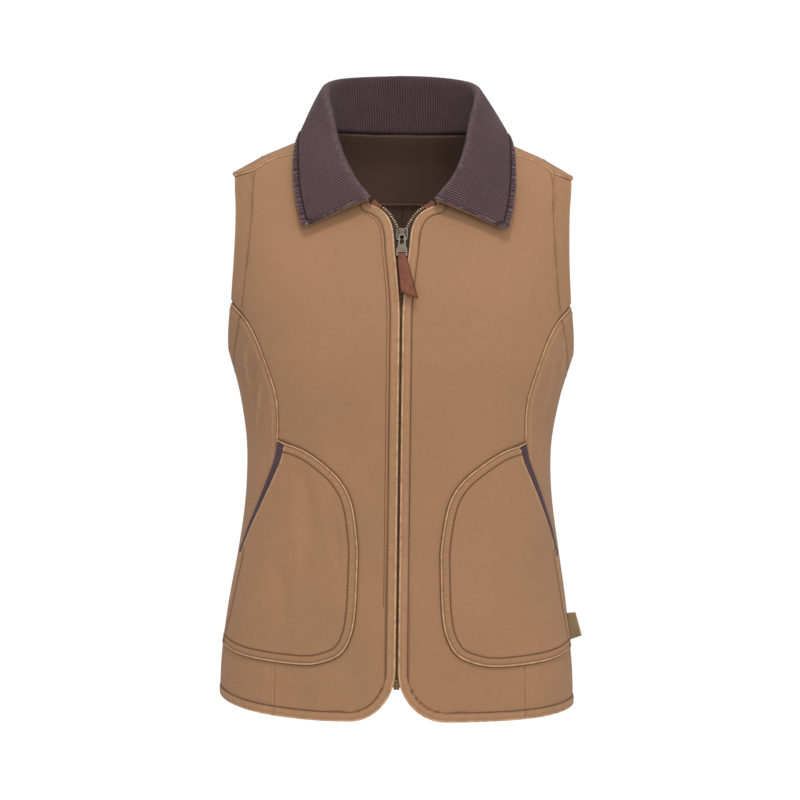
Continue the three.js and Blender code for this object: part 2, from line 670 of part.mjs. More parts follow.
// Outline of the pull: a round neck that widens to straight sides above the leather
function pullOutline(low, high) {
  const { width, neck, arms, flare } = PULL;
  const shape = new THREE.Shape();
  shape.moveTo(-width / 2, low);
  shape.lineTo(width / 2, low);
  shape.lineTo(width / 2, low + arms);
  shape.lineTo(neck / 2, low + arms + flare);
  shape.lineTo(neck / 2, high - neck / 2);
  shape.absarc(0, high - neck / 2, neck / 2, 0, Math.PI);
  shape.lineTo(-neck / 2, low + arms + flare);
  shape.lineTo(-width / 2, low + arms);
  return shape;
}

// Leather tab: a strap looped round the pull's lower bar, its layers sewn together below, cut on a slant
function pullTab() {
  const { wall: thick, eye, loop, flare, left, right } = LEATHER;
  const barLow = PULL.length - PULL.bar / 2;
  const eyeHigh = barLow - PULL.bar - eye;
  const eyeHalf = PULL.wall / 2 + eye;
  const profile = new THREE.Shape();
  profile.moveTo(eyeHigh - thick, -eyeHalf * 0.6);
  profile.lineTo(eyeHigh - thick * 0.4, -eyeHalf - thick);
  profile.lineTo(barLow + 1.5, -eyeHalf - thick);
  profile.lineTo(barLow + 8, -thick);
  profile.lineTo(barLow + right.down + 1, -thick);
  profile.lineTo(barLow + right.down + 1, thick);
  profile.lineTo(barLow + 8, thick);
  profile.lineTo(barLow + 1.5, eyeHalf + thick);
  profile.lineTo(eyeHigh - thick * 0.4, eyeHalf + thick);
  profile.lineTo(eyeHigh - thick, eyeHalf * 0.6);
  const opening = new THREE.Path();
  opening.moveTo(eyeHigh, -eyeHalf);
  opening.lineTo(eyeHigh, eyeHalf);
  opening.lineTo(barLow + 1.2, eyeHalf);
  opening.lineTo(barLow + 3.6, 0);
  opening.lineTo(barLow + 1.2, -eyeHalf);
  profile.holes.push(opening);
  const band = new THREE.ExtrudeGeometry(profile, { depth: 60, bevelEnabled: false }).rotateY(Math.PI / 2);
  const cut = new THREE.Shape();
  cut.moveTo(-loop / 2, 0);
  cut.lineTo(-loop / 2, -barLow - eye);
  cut.lineTo(-flare / 2, -barLow - eye);
  cut.lineTo(left.x, -barLow - left.down);
  cut.lineTo(right.x, -barLow - right.down);
  cut.lineTo(flare / 2, -barLow - eye);
  cut.lineTo(loop / 2, -barLow - eye);
  cut.lineTo(loop / 2, 0);
  return geometryOf(solid(band, -30, 0, 0).intersect(solid(plate(cut, 12), 0, 6, 0)));
}

// Retainer box closing the bottom of the zip
function zipBox() {
  return plate(roundedRectangle(BOX.width, -BOX.height, 0, 1), BOX.depth);
}

// Blank label tab standing out from the edge of the pocket, in the plane of its seam
function labelTab() {
  const shape = new THREE.Shape();
  shape.moveTo(0, -LABEL.height / 2);
  shape.lineTo(LABEL.bottom, -LABEL.height / 2 + LABEL.droop);
  shape.lineTo(LABEL.top, LABEL.height / 2);
  shape.lineTo(0, LABEL.height / 2);
  return plate(shape, LABEL.wall);
}

// Frame on the cloth: its Z runs up the cloth, its -Y outwards
function frameOn(place, lift) {
  const { point, normal } = onBody(place);
  const up = new THREE.Vector3(0, 0, 1).addScaledVector(normal, -normal.z).normalize();
  const inward = normal.clone().negate();
  const basis = new THREE.Matrix4().makeBasis(inward.clone().cross(up), inward, up);
  const frame = new THREE.Group();
  frame.quaternion.setFromRotationMatrix(basis);
  frame.position.copy(point).addScaledVector(normal, lift);
  return frame;
}

const MATERIALS = {
  canvas: { color: "#a57f61", roughness: 0.92, metalness: 0 },
  corduroy: { color: "#554344", roughness: 0.95, metalness: 0 },
  facing: { color: "#46332b", roughness: 0.95, metalness: 0 },
  tape: { color: "#5a4032", roughness: 0.9, metalness: 0 },
  leather: { color: "#865744", roughness: 0.6, metalness: 0 },
  pewter: { color: "#706153", roughness: 0.38, metalness: 1 },
  brass: { color: "#b39a66", roughness: 0.35, metalness: 1 },
  label: { color: "#8c7456", roughness: 0.9, metalness: 0 },
};

function piece(name, geometry, material) {
  const mesh = new THREE.Mesh(geometry, new THREE.MeshStandardMaterial(MATERIALS[material]));
  mesh.name = name;
  return mesh;
}

const vest = new THREE.Group();
vest.name = "vest";
for (const [hand, side] of [["right", -1], ["left", 1]]) {
  vest.add(piece(`front_panel_${hand}`, frontPanel(side), "canvas"));
  vest.add(piece(`side_panel_${hand}`, sidePanel(side), "canvas"));
  vest.add(piece(`pocket_${hand}`, pocket(side), "canvas"));
  vest.add(piece(`pocket_trim_${hand}`, pocketTrim(side), "corduroy"));
  vest.add(piece(`zip_tape_${hand}`, zipTape(side), "tape"));
  vest.add(piece(`zip_teeth_${hand}`, zipTeeth(side), "brass"));
  vest.add(piece(`zip_end_${hand}`, zipEnd(side), "leather"));
}
vest.add(piece("back_panel", backPanel(), "canvas"));
vest.add(piece("back_facing", backFacing(), "facing"));
vest.add(piece("collar", collarLayer(LAYER_GAP / 2, LAYER_GAP / 2 + CORDUROY_WALL), "corduroy"));
vest.add(piece("under_collar", collarLayer(-LAYER_GAP / 2 - UNDER_COLLAR_WALL, -LAYER_GAP / 2), "canvas"));

const sliderFrame = frameOn({ angle: 0, z: SLIDER.z }, TEETH_TOP + 0.4);
sliderFrame.add(piece("zip_slider", zipSlider(), "pewter"));
const pullFrame = new THREE.Group();
pullFrame.position.set(0, -SLIDER.plate - PULL_AXIS.lift, PULL_AXIS.up);
pullFrame.add(piece("zip_pull", zipPull(), "pewter"));
pullFrame.add(piece("pull_tab", pullTab(), "leather"));
sliderFrame.add(pullFrame);
vest.add(sliderFrame);

const boxFrame = frameOn({ angle: 0, z: ZIP_STRAIGHT[0].z - 0.5 }, TEETH_TOP - TEETH.depth - 1);
boxFrame.add(piece("zip_box", zipBox(), "brass"));
vest.add(boxFrame);

const labelFrame = frameOn({ angle: LABEL.angle, z: LABEL.z }, LAYER_GAP);
const label = piece("label_tab", labelTab(), "label");
label.rotation.z = -Math.PI / 2;
labelFrame.add(label);
vest.add(labelFrame);

export default vest;
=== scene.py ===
import math

import bpy
import numpy as np
from mathutils import Matrix, Vector
from mathutils.bvhtree import BVHTree
from mathutils.kdtree import KDTree


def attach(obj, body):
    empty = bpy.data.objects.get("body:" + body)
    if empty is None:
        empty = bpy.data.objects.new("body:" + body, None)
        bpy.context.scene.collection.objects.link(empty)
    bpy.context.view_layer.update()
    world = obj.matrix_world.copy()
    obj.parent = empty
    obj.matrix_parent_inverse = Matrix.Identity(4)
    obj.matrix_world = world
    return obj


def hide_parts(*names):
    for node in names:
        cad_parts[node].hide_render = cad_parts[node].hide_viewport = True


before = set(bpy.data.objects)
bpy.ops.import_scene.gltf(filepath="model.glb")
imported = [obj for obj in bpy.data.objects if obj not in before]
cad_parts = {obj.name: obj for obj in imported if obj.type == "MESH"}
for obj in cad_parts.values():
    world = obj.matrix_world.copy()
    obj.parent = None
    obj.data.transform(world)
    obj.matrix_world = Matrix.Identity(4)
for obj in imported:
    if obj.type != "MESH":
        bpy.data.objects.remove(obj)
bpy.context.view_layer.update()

# A sleeveless canvas work vest with a corduroy collar, as it hangs on a body.
# Lengths are in millimetres until a mesh is made, and angles in degrees: 0 ahead, 90 at the wearer's left.
MM = 0.001

# Cloth thicknesses and the lifts of the layers, as in the solids
PANEL_WALL = 2.4
POCKET_WALL = 1.6
TRIM_WALL = 1.9
FACING_WALL = 1.2
CORDUROY_WALL = 1.9
UNDER_COLLAR_WALL = 1.3
LAYER_GAP = 0.5
LINING_GAP = 0.9
POCKET_LIFT = 1.1
FACING_LIFT = 1.4
SEAM_GAP = 0.5

# How far a panel goes under its neighbour along a seam, and the end of the seam over which that fades
SEAM_UNDER, SEAM_TAPER = 2.6, 9.0

# Sections of the outer face, hem to neck: height, half width, depth before and behind the origin
SECTIONS = np.array([
    (-640, 187, 122, 114),
    (-606, 185.5, 121, 113),
    (-560, 184, 120, 112),
    (-500, 177, 118, 108),
    (-440, 167.5, 115, 100),
    (-390, 161, 114, 92),
    (-350, 159, 116, 88),
    (-320, 160.5, 119, 90),
    (-280, 167.5, 124, 96),
    (-258, 173.5, 126, 100),
    (-236, 180, 126.5, 103),
    (-180, 186, 121, 108),
    (-140, 187, 111, 109),
    (-115, 187, 102, 108),
    (-90, 186, 90, 104),
    (-65, 184, 76, 98),
    (-50.5, 178, 66, 93),
    (-44, 168, 62, 90.5),
    (-38, 157.5, 58, 88),
    (-31.5, 146, 53.5, 85),
    (-25, 131, 49, 81),
    (-19, 117, 45, 77),
    (-10, 97, 39, 70),
    (0, 78, 32, 63),
    (8, 66, 27, 58),
])
HALF, FRONT, BACK = 1, 2, 3
ROUNDNESS = 2.4

# The body's mean radius, how far one degree reaches round it, and the step that slopes are measured over
BODY_RADIUS, MM_PER_DEGREE, PROBE = 150, 3.0, 0.4

# Soft folds of the hanging cloth: direction, lower and upper height, reach either side, lift outwards
FOLDS = [
    (-33, -602, -556, 9, 2.2),
    (-47, -602, -548, 8, -2.0),
    (-40, -520, -400, 14, -2.4),
    (-28, -500, -430, 9, 1.8),
    (-70, -330, -215, 9, -3.0),
    (70, -320, -215, 9, -2.4),
    (24, -596, -560, 12, -1.8),
    (58, -602, -560, 10, 1.8),
    (165, -520, -380, 14, 2.2),
    (-160, -500, -360, 13, 2.2),
    (128, -420, -300, 12, -2.0),
    (-128, -430, -310, 12, -2.0),
]

# Lengths over which a fold ends, and over which the cloth's waves fade out towards the centre back
FOLD_FADE, DRAPE_FADE = 34, 60

# Outlines on the front: distance from the zip line, and height
HEM_Z = -606
HEM_RISE = {1: 5, -1: 12}
HEM_SIDE_POWER, HEM_FRONT_POWER = 8, 3
SWAY_SHIFT, SWAY_SPAN = 3.2, 190
HEM_CORNER_ACROSS, HEM_CORNER_UP = 48, 52
ZIP_EDGE = [
    (1.2, -200), (1.9, -181), (4.6, -151), (7.0, -131), (8.0, -119),
    (9.6, -108), (13.5, -98.5), (19.0, -92), (26.0, -87.5), (34.0, -84.5),
]
FRONT_NECK = [(34.0, -84.5), (45.0, -68), (56.0, -49), (64.5, -33), (70.0, -18)]
SHOULDER_SEAM = [(70, -18), (113, -31), (133, -36.5), (144, -42), (155, -49.5), (175, -55.5)]
FRONT_ARMHOLE = [(175.0, -186), (173.2, -150), (172.5, -120), (172.8, -90), (174.2, -70), (175.0, -55.5)]
PRINCESS_FOOT_X = 128.0
PRINCESS_SEAM = [
    (126.5, -460), (125.8, -323), (125.8, -298), (128.3, -277), (137.3, -249),
    (147.5, -223), (157.8, -204), (167.4, -193), (175.0, -186),
]

# Outlines round the side and back: direction and height
UNDERARM = [(78.5, -210), (83.5, -228), (90, -236), (96.5, -228), (101.5, -210)]
BACK_ARMHOLE = [(104.9, -120), (103.5, -80), (99, -57), (90, -50.5)]
BACK_NECK_Z = -4.5
BACK_NECK = [(150, -4), (120, -3), (90, -4), (75, -9.5)]

# Patch pocket: mouth, side edge, and the curved sewn edge from the top corner to the bottom
POCKET_MOUTH = [(118.5, -326.5), (123.5, -344), (133.5, -366), (143.5, -389), (154.0, -417), (162.0, -445)]
POCKET_SIDE = [(162.0, -445), (170.5, -490), (177.0, -525), (180.0, -540)]
POCKET_TOP = [(118.5, -326.5), (100.5, -332.5), (80.4, -345), (60.2, -363)]
POCKET_INNER = [
    (60.2, -363), (47.6, -386.5), (41.0, -427), (40.8, -455), (42.4, -495), (47.1, -520.5), (58.0, -539),
]
POCKET_BOTTOM = [(180.0, -540), (164.0, -546), (140.0, -549.5), (100.0, -551.5), (78.0, -548.5), (58.0, -539)]
POCKET_MOUTH_DRAW = {1: 0.8, -1: 4.2}
POCKET_FLAP_TIP = (125.6, -323.2)
POCKET_FLAP_DEPTH, POCKET_FLAP_FROM, POCKET_FLAP_FADE = 3.0, 14.0, 0.6

# Fullness of the pocket, and distances from its sewn edge and mouth over which fullness and folds grow
POCKET_PUFF, PUFF_FROM_SEAM, PUFF_FROM_MOUTH, FOLDS_FROM_SEAM = 1.6, (10, 46), (0, 34), (6, 20)

# Corduroy beside the mouth: widths, how far it goes under the pocket, and the slant of its ribs
TRIM_TOP, TRIM_BOTTOM, TRIM_SPREAD = 7.5, 2.6, 1.2
TRIM_UNDER, TRIM_SLANT, TRIM_SEAT, TRIM_SINK = 1.5, 2.0, 0.3, 0.4
TRIM_TUCK, TRIM_TUCK_OVER = -1.7, (1.5, 5.0)
TRIM_RIB_DRIFT, TRIM_RIB_DRIFT_LENGTH = 0.4, 5.0
TRIM_WEAR, TRIM_WEAR_AT, TRIM_WEAR_WIDTH = 0.3, 0.9, 0.15

# Drag lines and soft folds: side, piece, lift, width, and a line of distances from the zip line and heights
CREASES = [
    (-1, "side", 2.2, 2.4, [(158, -221), (161, -250), (155, -286)]),
    (-1, "side", 2.0, 2.4, [(142, -263), (148, -292), (152, -325)]),
    (-1, "side", -1.6, 5.0, [(150, -240), (154, -275), (145, -310)]),
    (1, "side", 1.5, 2.0, [(171, -212), (169, -226), (172, -240)]),
    (1, "side", 1.5, 1.8, [(172.5, -238), (168.5, -246), (167, -256)]),
    (1, "side", 1.4, 4.5, [(160, -232), (155, -268), (149, -300)]),
    (-1, "pocket", -2.4, 8.0, [(107, -340), (95, -379), (91.5, -416), (93.5, -436)]),
    (-1, "pocket", -1.8, 5.5, [(68.5, -398), (64, -428), (58.5, -456)]),
    (-1, "pocket", -2.0, 8.0, [(129, -438), (120, -474), (117.5, -530)]),
    (-1, "pocket", 1.4, 8.0, [(108, -372), (106, -420), (103, -470)]),
    (1, "pocket", -1.0, 9.0, [(100, -380), (108, -430), (110, -480)]),
]
# Share of a crease's length over which it ends, the painted highlight on its crests, and steps along its line
CREASE_END_SHARE, CREASE_HIGHLIGHT, CREASE_STEPS = 0.35, 0.35, 60

# Slow waves of the cloth: height, lengths round and down of two waves that cross, and the second's start
DRAPE_WAVES = (
    (0.7, (31, 74), (-97, 53), 0.0),
    (0.4, (15, -61), (140, 88), 1.0),
)
RIB_DRIFT, RIB_BEND, RIB_BEND_LENGTH = (0.8, (17, 11), (6.1, math.inf), 0.0), 1.3, 23
PILE_CRUSH, CRUSH_BEND, CRUSH_BEND_LENGTH = (0.5, (41, 12.5), (9.7, math.inf), 0.0), 2.2, 17
COLLAR_WAVE = (0.45, (19, math.inf), (math.inf, 16), 0.0)

# Collar, front end to centre back: roll line x, y, z, then outer edge x, y, z
COLLAR = np.array([
    (33, -98.5, -79.5, 103.5, -100, -110.5),
    (54, -84, -52.5, 110, -85, -83),
    (65.5, -66, -24, 113, -68, -56),
    (71.5, -42, 8, 112.5, -44, -29.5),
    (77, -8, 32, 108.5, -10, -12),
    (75, 29, 45.5, 104, 30, -13),
    (60, 57, 53.5, 81, 66, -15),
    (32, 71, 57.5, 43, 86, -15),
    (0, 75, 59, 0, 91, -15),
], float)
COLLAR_LEAN, COLLAR_EDGE_SHIFT = 0.022, 2.6
COLLAR_FOLD_RADIUS, COLLAR_TIP_FOLD, COLLAR_TIP_SHARE = 2.5, 0.4, 0.1
COLLAR_CORNER, COLLAR_BELLY = 6.0, 1.6
COLLAR_FOOT_GAP, COLLAR_FOOT_EASE = 0.3, 16.0
# Crushed pile is paler; a pale line along the roll crest comes from wear and painted highlight, with its
# width
COLLAR_PALER, COLLAR_ROLL_WEAR_AND_HIGHLIGHT, COLLAR_ROLL_WIDTH = 0.15, 0.5, 1.5
# Painted shade on the collar's stand, inside the roll, and the length over which it fades out below the crest
STAND_PAINTED_SHADE, STAND_SHADE_FADES_OVER = 0.3, 9.0
UNDER_COLLAR_STEP, UNDER_COLLAR_SHOWS = 3.0, 0.15
WALE_PITCH, WALE_DEPTH, WALE_STEPS, WALE_LEAST_CRUSHED = 2.7, 0.5, 4, 1.2

# Rows of the collar's grid: shares of the stand, the roll and the fall, and distances from the outer edge
STAND_SHARES = np.linspace(0, 1, 12)
ROLL_SHARES = np.linspace(0, 1, 9)[1:]
FALL_SHARES = np.linspace(0, 1, 16)[1:-1]
COLLAR_EDGE_ROWS = np.array([0, 0.3, 0.8, 1.5, 2.3, 3.2, 4.1, 4.9, 5.5, 5.95, 6.4, 6.85, 7.4, 8.3, 10, 12])
ROLL_CREST = len(STAND_SHARES) + len(ROLL_SHARES) // 2
COLLAR_STITCH_ENDS = 8

# Rounds that find how far the roll turns before the fall leaves it
ROLL_ROUNDS = 4

# Zip: centre line of one row of teeth, closed and then parting above the slider
ZIP_STRAIGHT = [(1.35, -563), (1.35, -128)]
ZIP_PARTING = [(1.35, -128), (1.5, -120), (3.0, -113), (6.2, -104.5), (10.5, -97), (15.5, -90.5), (21.0, -86)]
ZIP_END = [(21.35, -85.72), (26.5, -82), (30.3, -78.5)]
SLIDER_Z = -114.5
TOOTH_PITCH = 2.6
TEETH_DEPTH = 2.0
TAPE_START, TAPE_END, TAPE_WALL = 0.8, 12.0, 0.8
TAPE_TOP = -PANEL_WALL - LINING_GAP
ZIP_END_INNER, ZIP_END_OUTER, ZIP_END_BELOW, ZIP_END_ABOVE = -1.6, 5.2, 1.6, 0.6
ZIP_END_LUMP, ZIP_END_TURNS, ZIP_END_ROWS, ZIP_END_COLUMNS = 0.35, 9, 25, 16
TAPE_COLUMNS = 12

# Back facing: its drop below the neck, its reach above it, and its side edges at the bottom and the top
FACING_DROP, FACING_REACH, FACING_BELOW_NECK = 71, 4.6, 1.5
FACING_EDGE_ANGLE, FACING_TOP_ANGLE = 128, 97
FACING_COLUMNS, FACING_EVEN_ROWS = 90, 24
FACING_EDGE_ROWS = np.array([8, 6, 5, 4, 3, 2, 1.2, 0.5, 0])

# Distances of the stitch lines from the edges they follow
HEM_STITCH = 9.6
ARMHOLE_STITCH = 23.5
HEM_SECOND_STITCH, HEM_SECOND_FROM = 12.8, 14
POCKET_STITCH = 10.0
POCKET_BAND = 0.6 * POCKET_STITCH
COLLAR_STITCH = 6.4
STITCH_PITCH, STITCH_LENGTH, THREAD_RADIUS = 3.1, 2.1, 0.42

# Grid steps: rows close to an edge, where seams and stitch lines are, then even steps
EDGE_ROWS_SHARE = 0.4
EDGE_ROWS = (0, 0.3, 0.7, 1.1, 1.6, 2.1, 2.6, 3.0, 3.4, 3.9, 4.6, 5.6, 6.8, 8.0, 8.9, 9.6, 10.3, 11.3)
PANEL_STEP, BACK_STEP, POCKET_STEP = 3.0, 3.6, 1.3
TRIM_ROWS, TRIM_COLUMNS = 240, 13
LINE_FACETS, CURVE_STEPS, FINE_STEPS = 10, 40, 2000

# A shell's inner face follows this share of its relief. Lines settle on it in steps, from a reach above it
INNER_SHARE, SETTLE_STEP, SETTLE_REACH, BORDER_STEPS = 0.4, 0.7, 9.0, 9

# Forms of sewn edges by distance from the edge. Columns: the row it changes, which is the lift, the
# wear and painted highlight, or the painted shade in grooves, gaps and hollows; a ridge with its height,
# place and width, or a step with the height before it, its start and its end; then, where it follows a
# pucker, the part and the period of that
HEM_FORM = [
    ("lift", "step", 0.5, HEM_STITCH - 1.2, HEM_STITCH + 0.6),
    ("lift", "ridge", 0.45, 5, 3.2),
    ("lift", "ridge", -0.5, HEM_STITCH, 0.9),
    ("lift", "ridge", 0.16, 6.5, 3.5, "waves", 9),
    ("lift", "ridge", 0.22, HEM_STITCH + 5, 4, "waves", 17),
    ("wear_and_highlight", "ridge", 0.9, 1.0, 0.8),
    ("wear_and_highlight", "ridge", 0.14, 6, 2.2),
    ("painted_shade", "ridge", 0.85, HEM_STITCH, 0.7),
]
LAPPED_SEAM = [
    ("lift", "ridge", 0.7, 1.0, 0.8),
    ("lift", "ridge", -0.35, 2.6, 0.8),
    ("lift", "ridge", 0.45, 7.5, 2.2),
    ("lift", "ridge", 0.12, 6, 4, "waves", 13),
    ("wear_and_highlight", "ridge", 0.95, 1.0, 0.6),
    ("wear_and_highlight", "ridge", 0.2, 7.5, 1.6),
    ("painted_shade", "ridge", 0.4, 2.6, 0.7),
]
TUCKED_SEAM = [
    ("lift", "step", -1.3, SEAM_UNDER - 0.3, SEAM_UNDER + 2.0),
    ("lift", "ridge", 0.12, SEAM_UNDER + 8, 5, "waves", 15),
    # Painted shadow in the gap beside the neighbour's lapped edge
    ("painted_shade", "step", 1.2, SEAM_UNDER + 0.8, SEAM_UNDER + 2.1),
]
ARMHOLE_EDGE = [
    ("lift", "ridge", 0.5, 2.2, 1.8),
    ("lift", "ridge", -0.34, ARMHOLE_STITCH, 1.0),
    ("lift", "ridge", 0.1, ARMHOLE_STITCH, 5, "waves", 12),
    ("wear_and_highlight", "ridge", 0.4, 1.4, 1.2),
    ("painted_shade", "ridge", 0.3, ARMHOLE_STITCH, 1.2),
]
POCKET_EDGE = [
    ("lift", "step", 0.3 - POCKET_LIFT, 1, 9),
    ("lift", "ridge", 0.7, 1.8, 0.7),
    ("lift", "ridge", -0.3, 3.3, 0.7),
    ("lift", "ridge", 0.35, POCKET_BAND, 2.2),
    ("lift", "ridge", -0.5, POCKET_STITCH, 1.0),
    ("lift", "ridge", 0.16, POCKET_BAND, 2.4, "waves", 4.1),
    ("wear_and_highlight", "ridge", 0.95, 1.8, 0.6),
    # Pucker crests get a painted highlight
    ("wear_and_highlight", "ridge", 0.12, POCKET_BAND, 2.2, "crests", 4.1),
    # Painted shade: a painted shadow line at the outer edge, a groove, the stitch line and the pucker hollows
    ("painted_shade", "step", 1.2, 0.5, 1.2),
    ("painted_shade", "ridge", 0.5, 3.2, 0.6),
    ("painted_shade", "ridge", 0.8, POCKET_STITCH, 0.8),
    ("painted_shade", "ridge", 0.14, POCKET_BAND, 2.2, "hollows", 4.1),
]
MOUTH_EDGE = [
    ("lift", "ridge", 0.2, 1.3, 1.3),
    ("wear_and_highlight", "ridge", 0.5, 1.2, 0.9),
]
COLLAR_BORDER = [
    ("lift", "step", 0.5, COLLAR_STITCH - 1.4, COLLAR_STITCH),
    ("lift", "ridge", -1.3, COLLAR_STITCH, 0.8),
    # The puckers get painted highlight on their crests and painted shade in their hollows
    ("lift", "ridge", 0.5, 3.2, 2.4, "waves", 4.9),
    ("lift", "ridge", -0.2, 0, 1.2),
    ("wear_and_highlight", "ridge", 0.7, 0.8, 1.2),
    ("wear_and_highlight", "ridge", 1.1, 3.2, 2.2, "crests", 4.9),
    ("painted_shade", "ridge", 1.0, COLLAR_STITCH, 0.9),
    ("painted_shade", "ridge", 1.0, 3.2, 2.0, "hollows", 4.9),
]
COLLAR_END = [
    ("lift", "ridge", 0.45, 1.4, 1.5, "waves", 5.1),
    ("lift", "ridge", -0.4, 3.6, 1.0),
    ("wear_and_highlight", "ridge", 0.35, 1.0, 1.0),
    ("wear_and_highlight", "ridge", 0.9, 1.6, 1.4, "crests", 5.1),
    ("painted_shade", "ridge", 1.0, 1.2, 1.2, "hollows", 5.1),
    ("painted_shade", "ridge", 0.35, 3.6, 0.8),
]
FACING_EDGE = [
    ("lift", "ridge", 0.3, 1.2, 1.2),
    ("lift", "ridge", -0.2, 4, 0.8),
    ("wear_and_highlight", "ridge", 0.9, 0.8, 0.9),
    ("painted_shade", "ridge", 0.5, 4, 0.7),
]
TAB_BORDER = [
    ("lift", "ridge", -0.25, 1.7, 0.5),
    ("lift", "ridge", 0.12, 0.9, 0.6),
]
PUCKER_SWING, PUCKER_SPREAD = 1.7, 3.7

# Above the hem the front seams are pressed to a share of their form, up to one height and less up to the next
PRESSED_SHARE, PRESSED_TO, PRESSED_END = 0.22, 70, 120


# Curves and the body's surface

def cubic(keys, values, at):
    """Value of a smooth curve through rows of keys and values."""
    row = np.arange(len(keys))
    low, high = np.maximum(row - 1, 0), np.minimum(row + 1, len(keys) - 1)
    slopes = (values[high] - values[low]) / (keys[high] - keys[low])
    k = np.clip(np.searchsorted(keys, at) - 1, 0, len(keys) - 2)
    span = keys[k + 1] - keys[k]
    t = np.clip((at - keys[k]) / span, 0, 1)
    a, b, ma, mb = values[k], values[k + 1], slopes[k] * span, slopes[k + 1] * span
    return a + t * ma + t**2 * (3 * (b - a) - 2 * ma - mb) + t**3 * (2 * (a - b) + ma + mb)


def section(column, z):
    return cubic(SECTIONS[:, 0], SECTIONS[:, column], z)


def smooth(x, low, high):
    t = np.clip((x - low) / (high - low), 0, 1)
    return t * t * (3 - 2 * t)


def bell(x, at, width):
    return np.exp(-(((x - at) / width) ** 2))


def fold_lift(angle, z):
    lift = np.zeros(np.broadcast(angle, z).shape)
    for direction, low, high, reach, height in FOLDS:
        along_fold = smooth(z, low - FOLD_FADE, low + FOLD_FADE / 2)
        along_fold = along_fold * (1 - smooth(z, high - FOLD_FADE / 2, high + FOLD_FADE))
        lift += height * along_fold * bell((angle - direction + 180) % 360 - 180, 0, reach)
    return lift


def body_point(angle, z):
    """Place on the cloth's outer face in a direction, at a height."""
    turn = np.radians(angle)
    depth = np.where(np.abs(angle) < 90, section(FRONT, z), section(BACK, z))
    side, ahead_share = np.abs(np.sin(turn)) / section(HALF, z), np.abs(np.cos(turn)) / depth
    reach = (side**ROUNDNESS + ahead_share**ROUNDNESS) ** (-1 / ROUNDNESS) + fold_lift(angle, z)
    return np.stack([reach * np.sin(turn), -reach * np.cos(turn), z + 0 * turn], -1)


def body_slopes(angle, z):
    """Moves of the place on the outer face for one degree round and one millimetre up."""
    round_body = body_point(angle + PROBE, z) - body_point(angle - PROBE, z)
    up = body_point(angle, z + PROBE) - body_point(angle, z - PROBE)
    return round_body / (2 * PROBE), up / (2 * PROBE)


def on_body(places, side=1):
    """Points and outward normals of places given as direction and height."""
    angle, z = places[..., 0] * side, places[..., 1]
    return body_point(angle, z), unit(np.cross(*body_slopes(angle, z)))


def unit(vectors):
    return vectors / np.linalg.norm(vectors, axis=-1, keepdims=True)


def tangents(points, axis):
    """Directions along one axis of a grid of points, whatever its spacing."""
    steps = unit(np.diff(points, axis=axis))
    first, last = np.take(steps, [0], axis), np.take(steps, [-1], axis)
    return unit(np.concatenate([first, steps], axis) + np.concatenate([steps, last], axis))


def ahead(line, side):
    """Directions of places on the front that are given as distance from the zip line and height."""
    x, z = line[..., 0], line[..., 1]
    hung = x + side * SWAY_SHIFT * np.sin(np.pi * x / SWAY_SPAN) ** 2
    share = np.maximum(1 - (hung / section(HALF, z)) ** ROUNDNESS, 0) ** (1 / ROUNDNESS)
    return np.stack([np.degrees(np.arctan2(hung, section(FRONT, z) * share)), z], -1)


def lengths(line):
    """Distance along a line to each of its points."""
    return np.concatenate([[0], np.cumsum(np.linalg.norm(np.diff(line, axis=0), axis=1))])


def at_lengths(line, where, walked=None):
    """Points of a line at distances along it."""
    walked = lengths(line) if walked is None else walked
    return np.stack([np.interp(where, walked, line[:, k]) for k in range(line.shape[1])], -1)


def along(rows, count, scale=1.0):
    """Evenly spaced places along a smooth line through rows; scale is millimetres per unit across."""
    rows = np.array(rows, float) * (scale, 1.0)
    t = np.linspace(0, len(rows) - 1, CURVE_STEPS * (len(rows) - 1) + 1)
    k = np.minimum(t.astype(int), len(rows) - 2)
    u = (t - k)[:, None]
    p0, p1, p2, p3 = (rows[np.clip(k + i, 0, len(rows) - 1)] for i in (-1, 0, 1, 2))
    v0, v1 = (p2 - p0) / 2, (p3 - p1) / 2
    line = (2 * p1 - 2 * p2 + v0 + v1) * u**3 + (3 * p2 - 3 * p1 - 2 * v0 - v1) * u**2 + v0 * u + p1
    walked = lengths(line)
    return at_lengths(line, np.linspace(0, walked[-1], count + 1), walked) / (scale, 1.0)


def smooth_parts(*parts):
    """Lines of (rows, count) that follow each other, as parts of one smooth line."""
    rows = joined(*[np.array(rows, float) for rows, _ in parts])
    whole = along(rows, FINE_STEPS)
    ends = [0]
    for part, _ in parts[:-1]:
        ends.append(int(np.argmin(np.linalg.norm(whole - part[-1], axis=1))))
    ends.append(len(whole) - 1)
    made = []
    for (_, count), first, last in zip(parts, ends, ends[1:]):
        piece = whole[first:last + 1]
        walked = lengths(piece)
        made.append(at_lengths(piece, np.linspace(0, walked[-1], count + 1), walked))
    return made


def joined(*lines):
    return np.concatenate([lines[0], *[line[1:] for line in lines[1:]]])


def sampled(line, shares):
    """Points of a line at shares of its number of points."""
    return at_lengths(line, shares, np.linspace(0, 1, len(line)))


def split(a, b, step, edge=EDGE_ROWS):
    """Shares that split two facing lines into even steps, closer at both ends."""
    dense = np.linspace(0, 1, 15 * CURVE_STEPS)
    walked = sum(lengths(sampled(line, dense) * (MM_PER_DEGREE, 1.0)) for line in (a, b)) / 2
    edge = np.array([d for d in edge if d < EDGE_ROWS_SHARE * walked[-1]])
    count = max(2, round((walked[-1] - 2 * edge[-1]) / step))
    middle = np.linspace(edge[-1], walked[-1] - edge[-1], count + 1)[1:-1]
    return np.interp(np.concatenate([edge, middle, walked[-1] - edge[::-1]]), walked, dense)


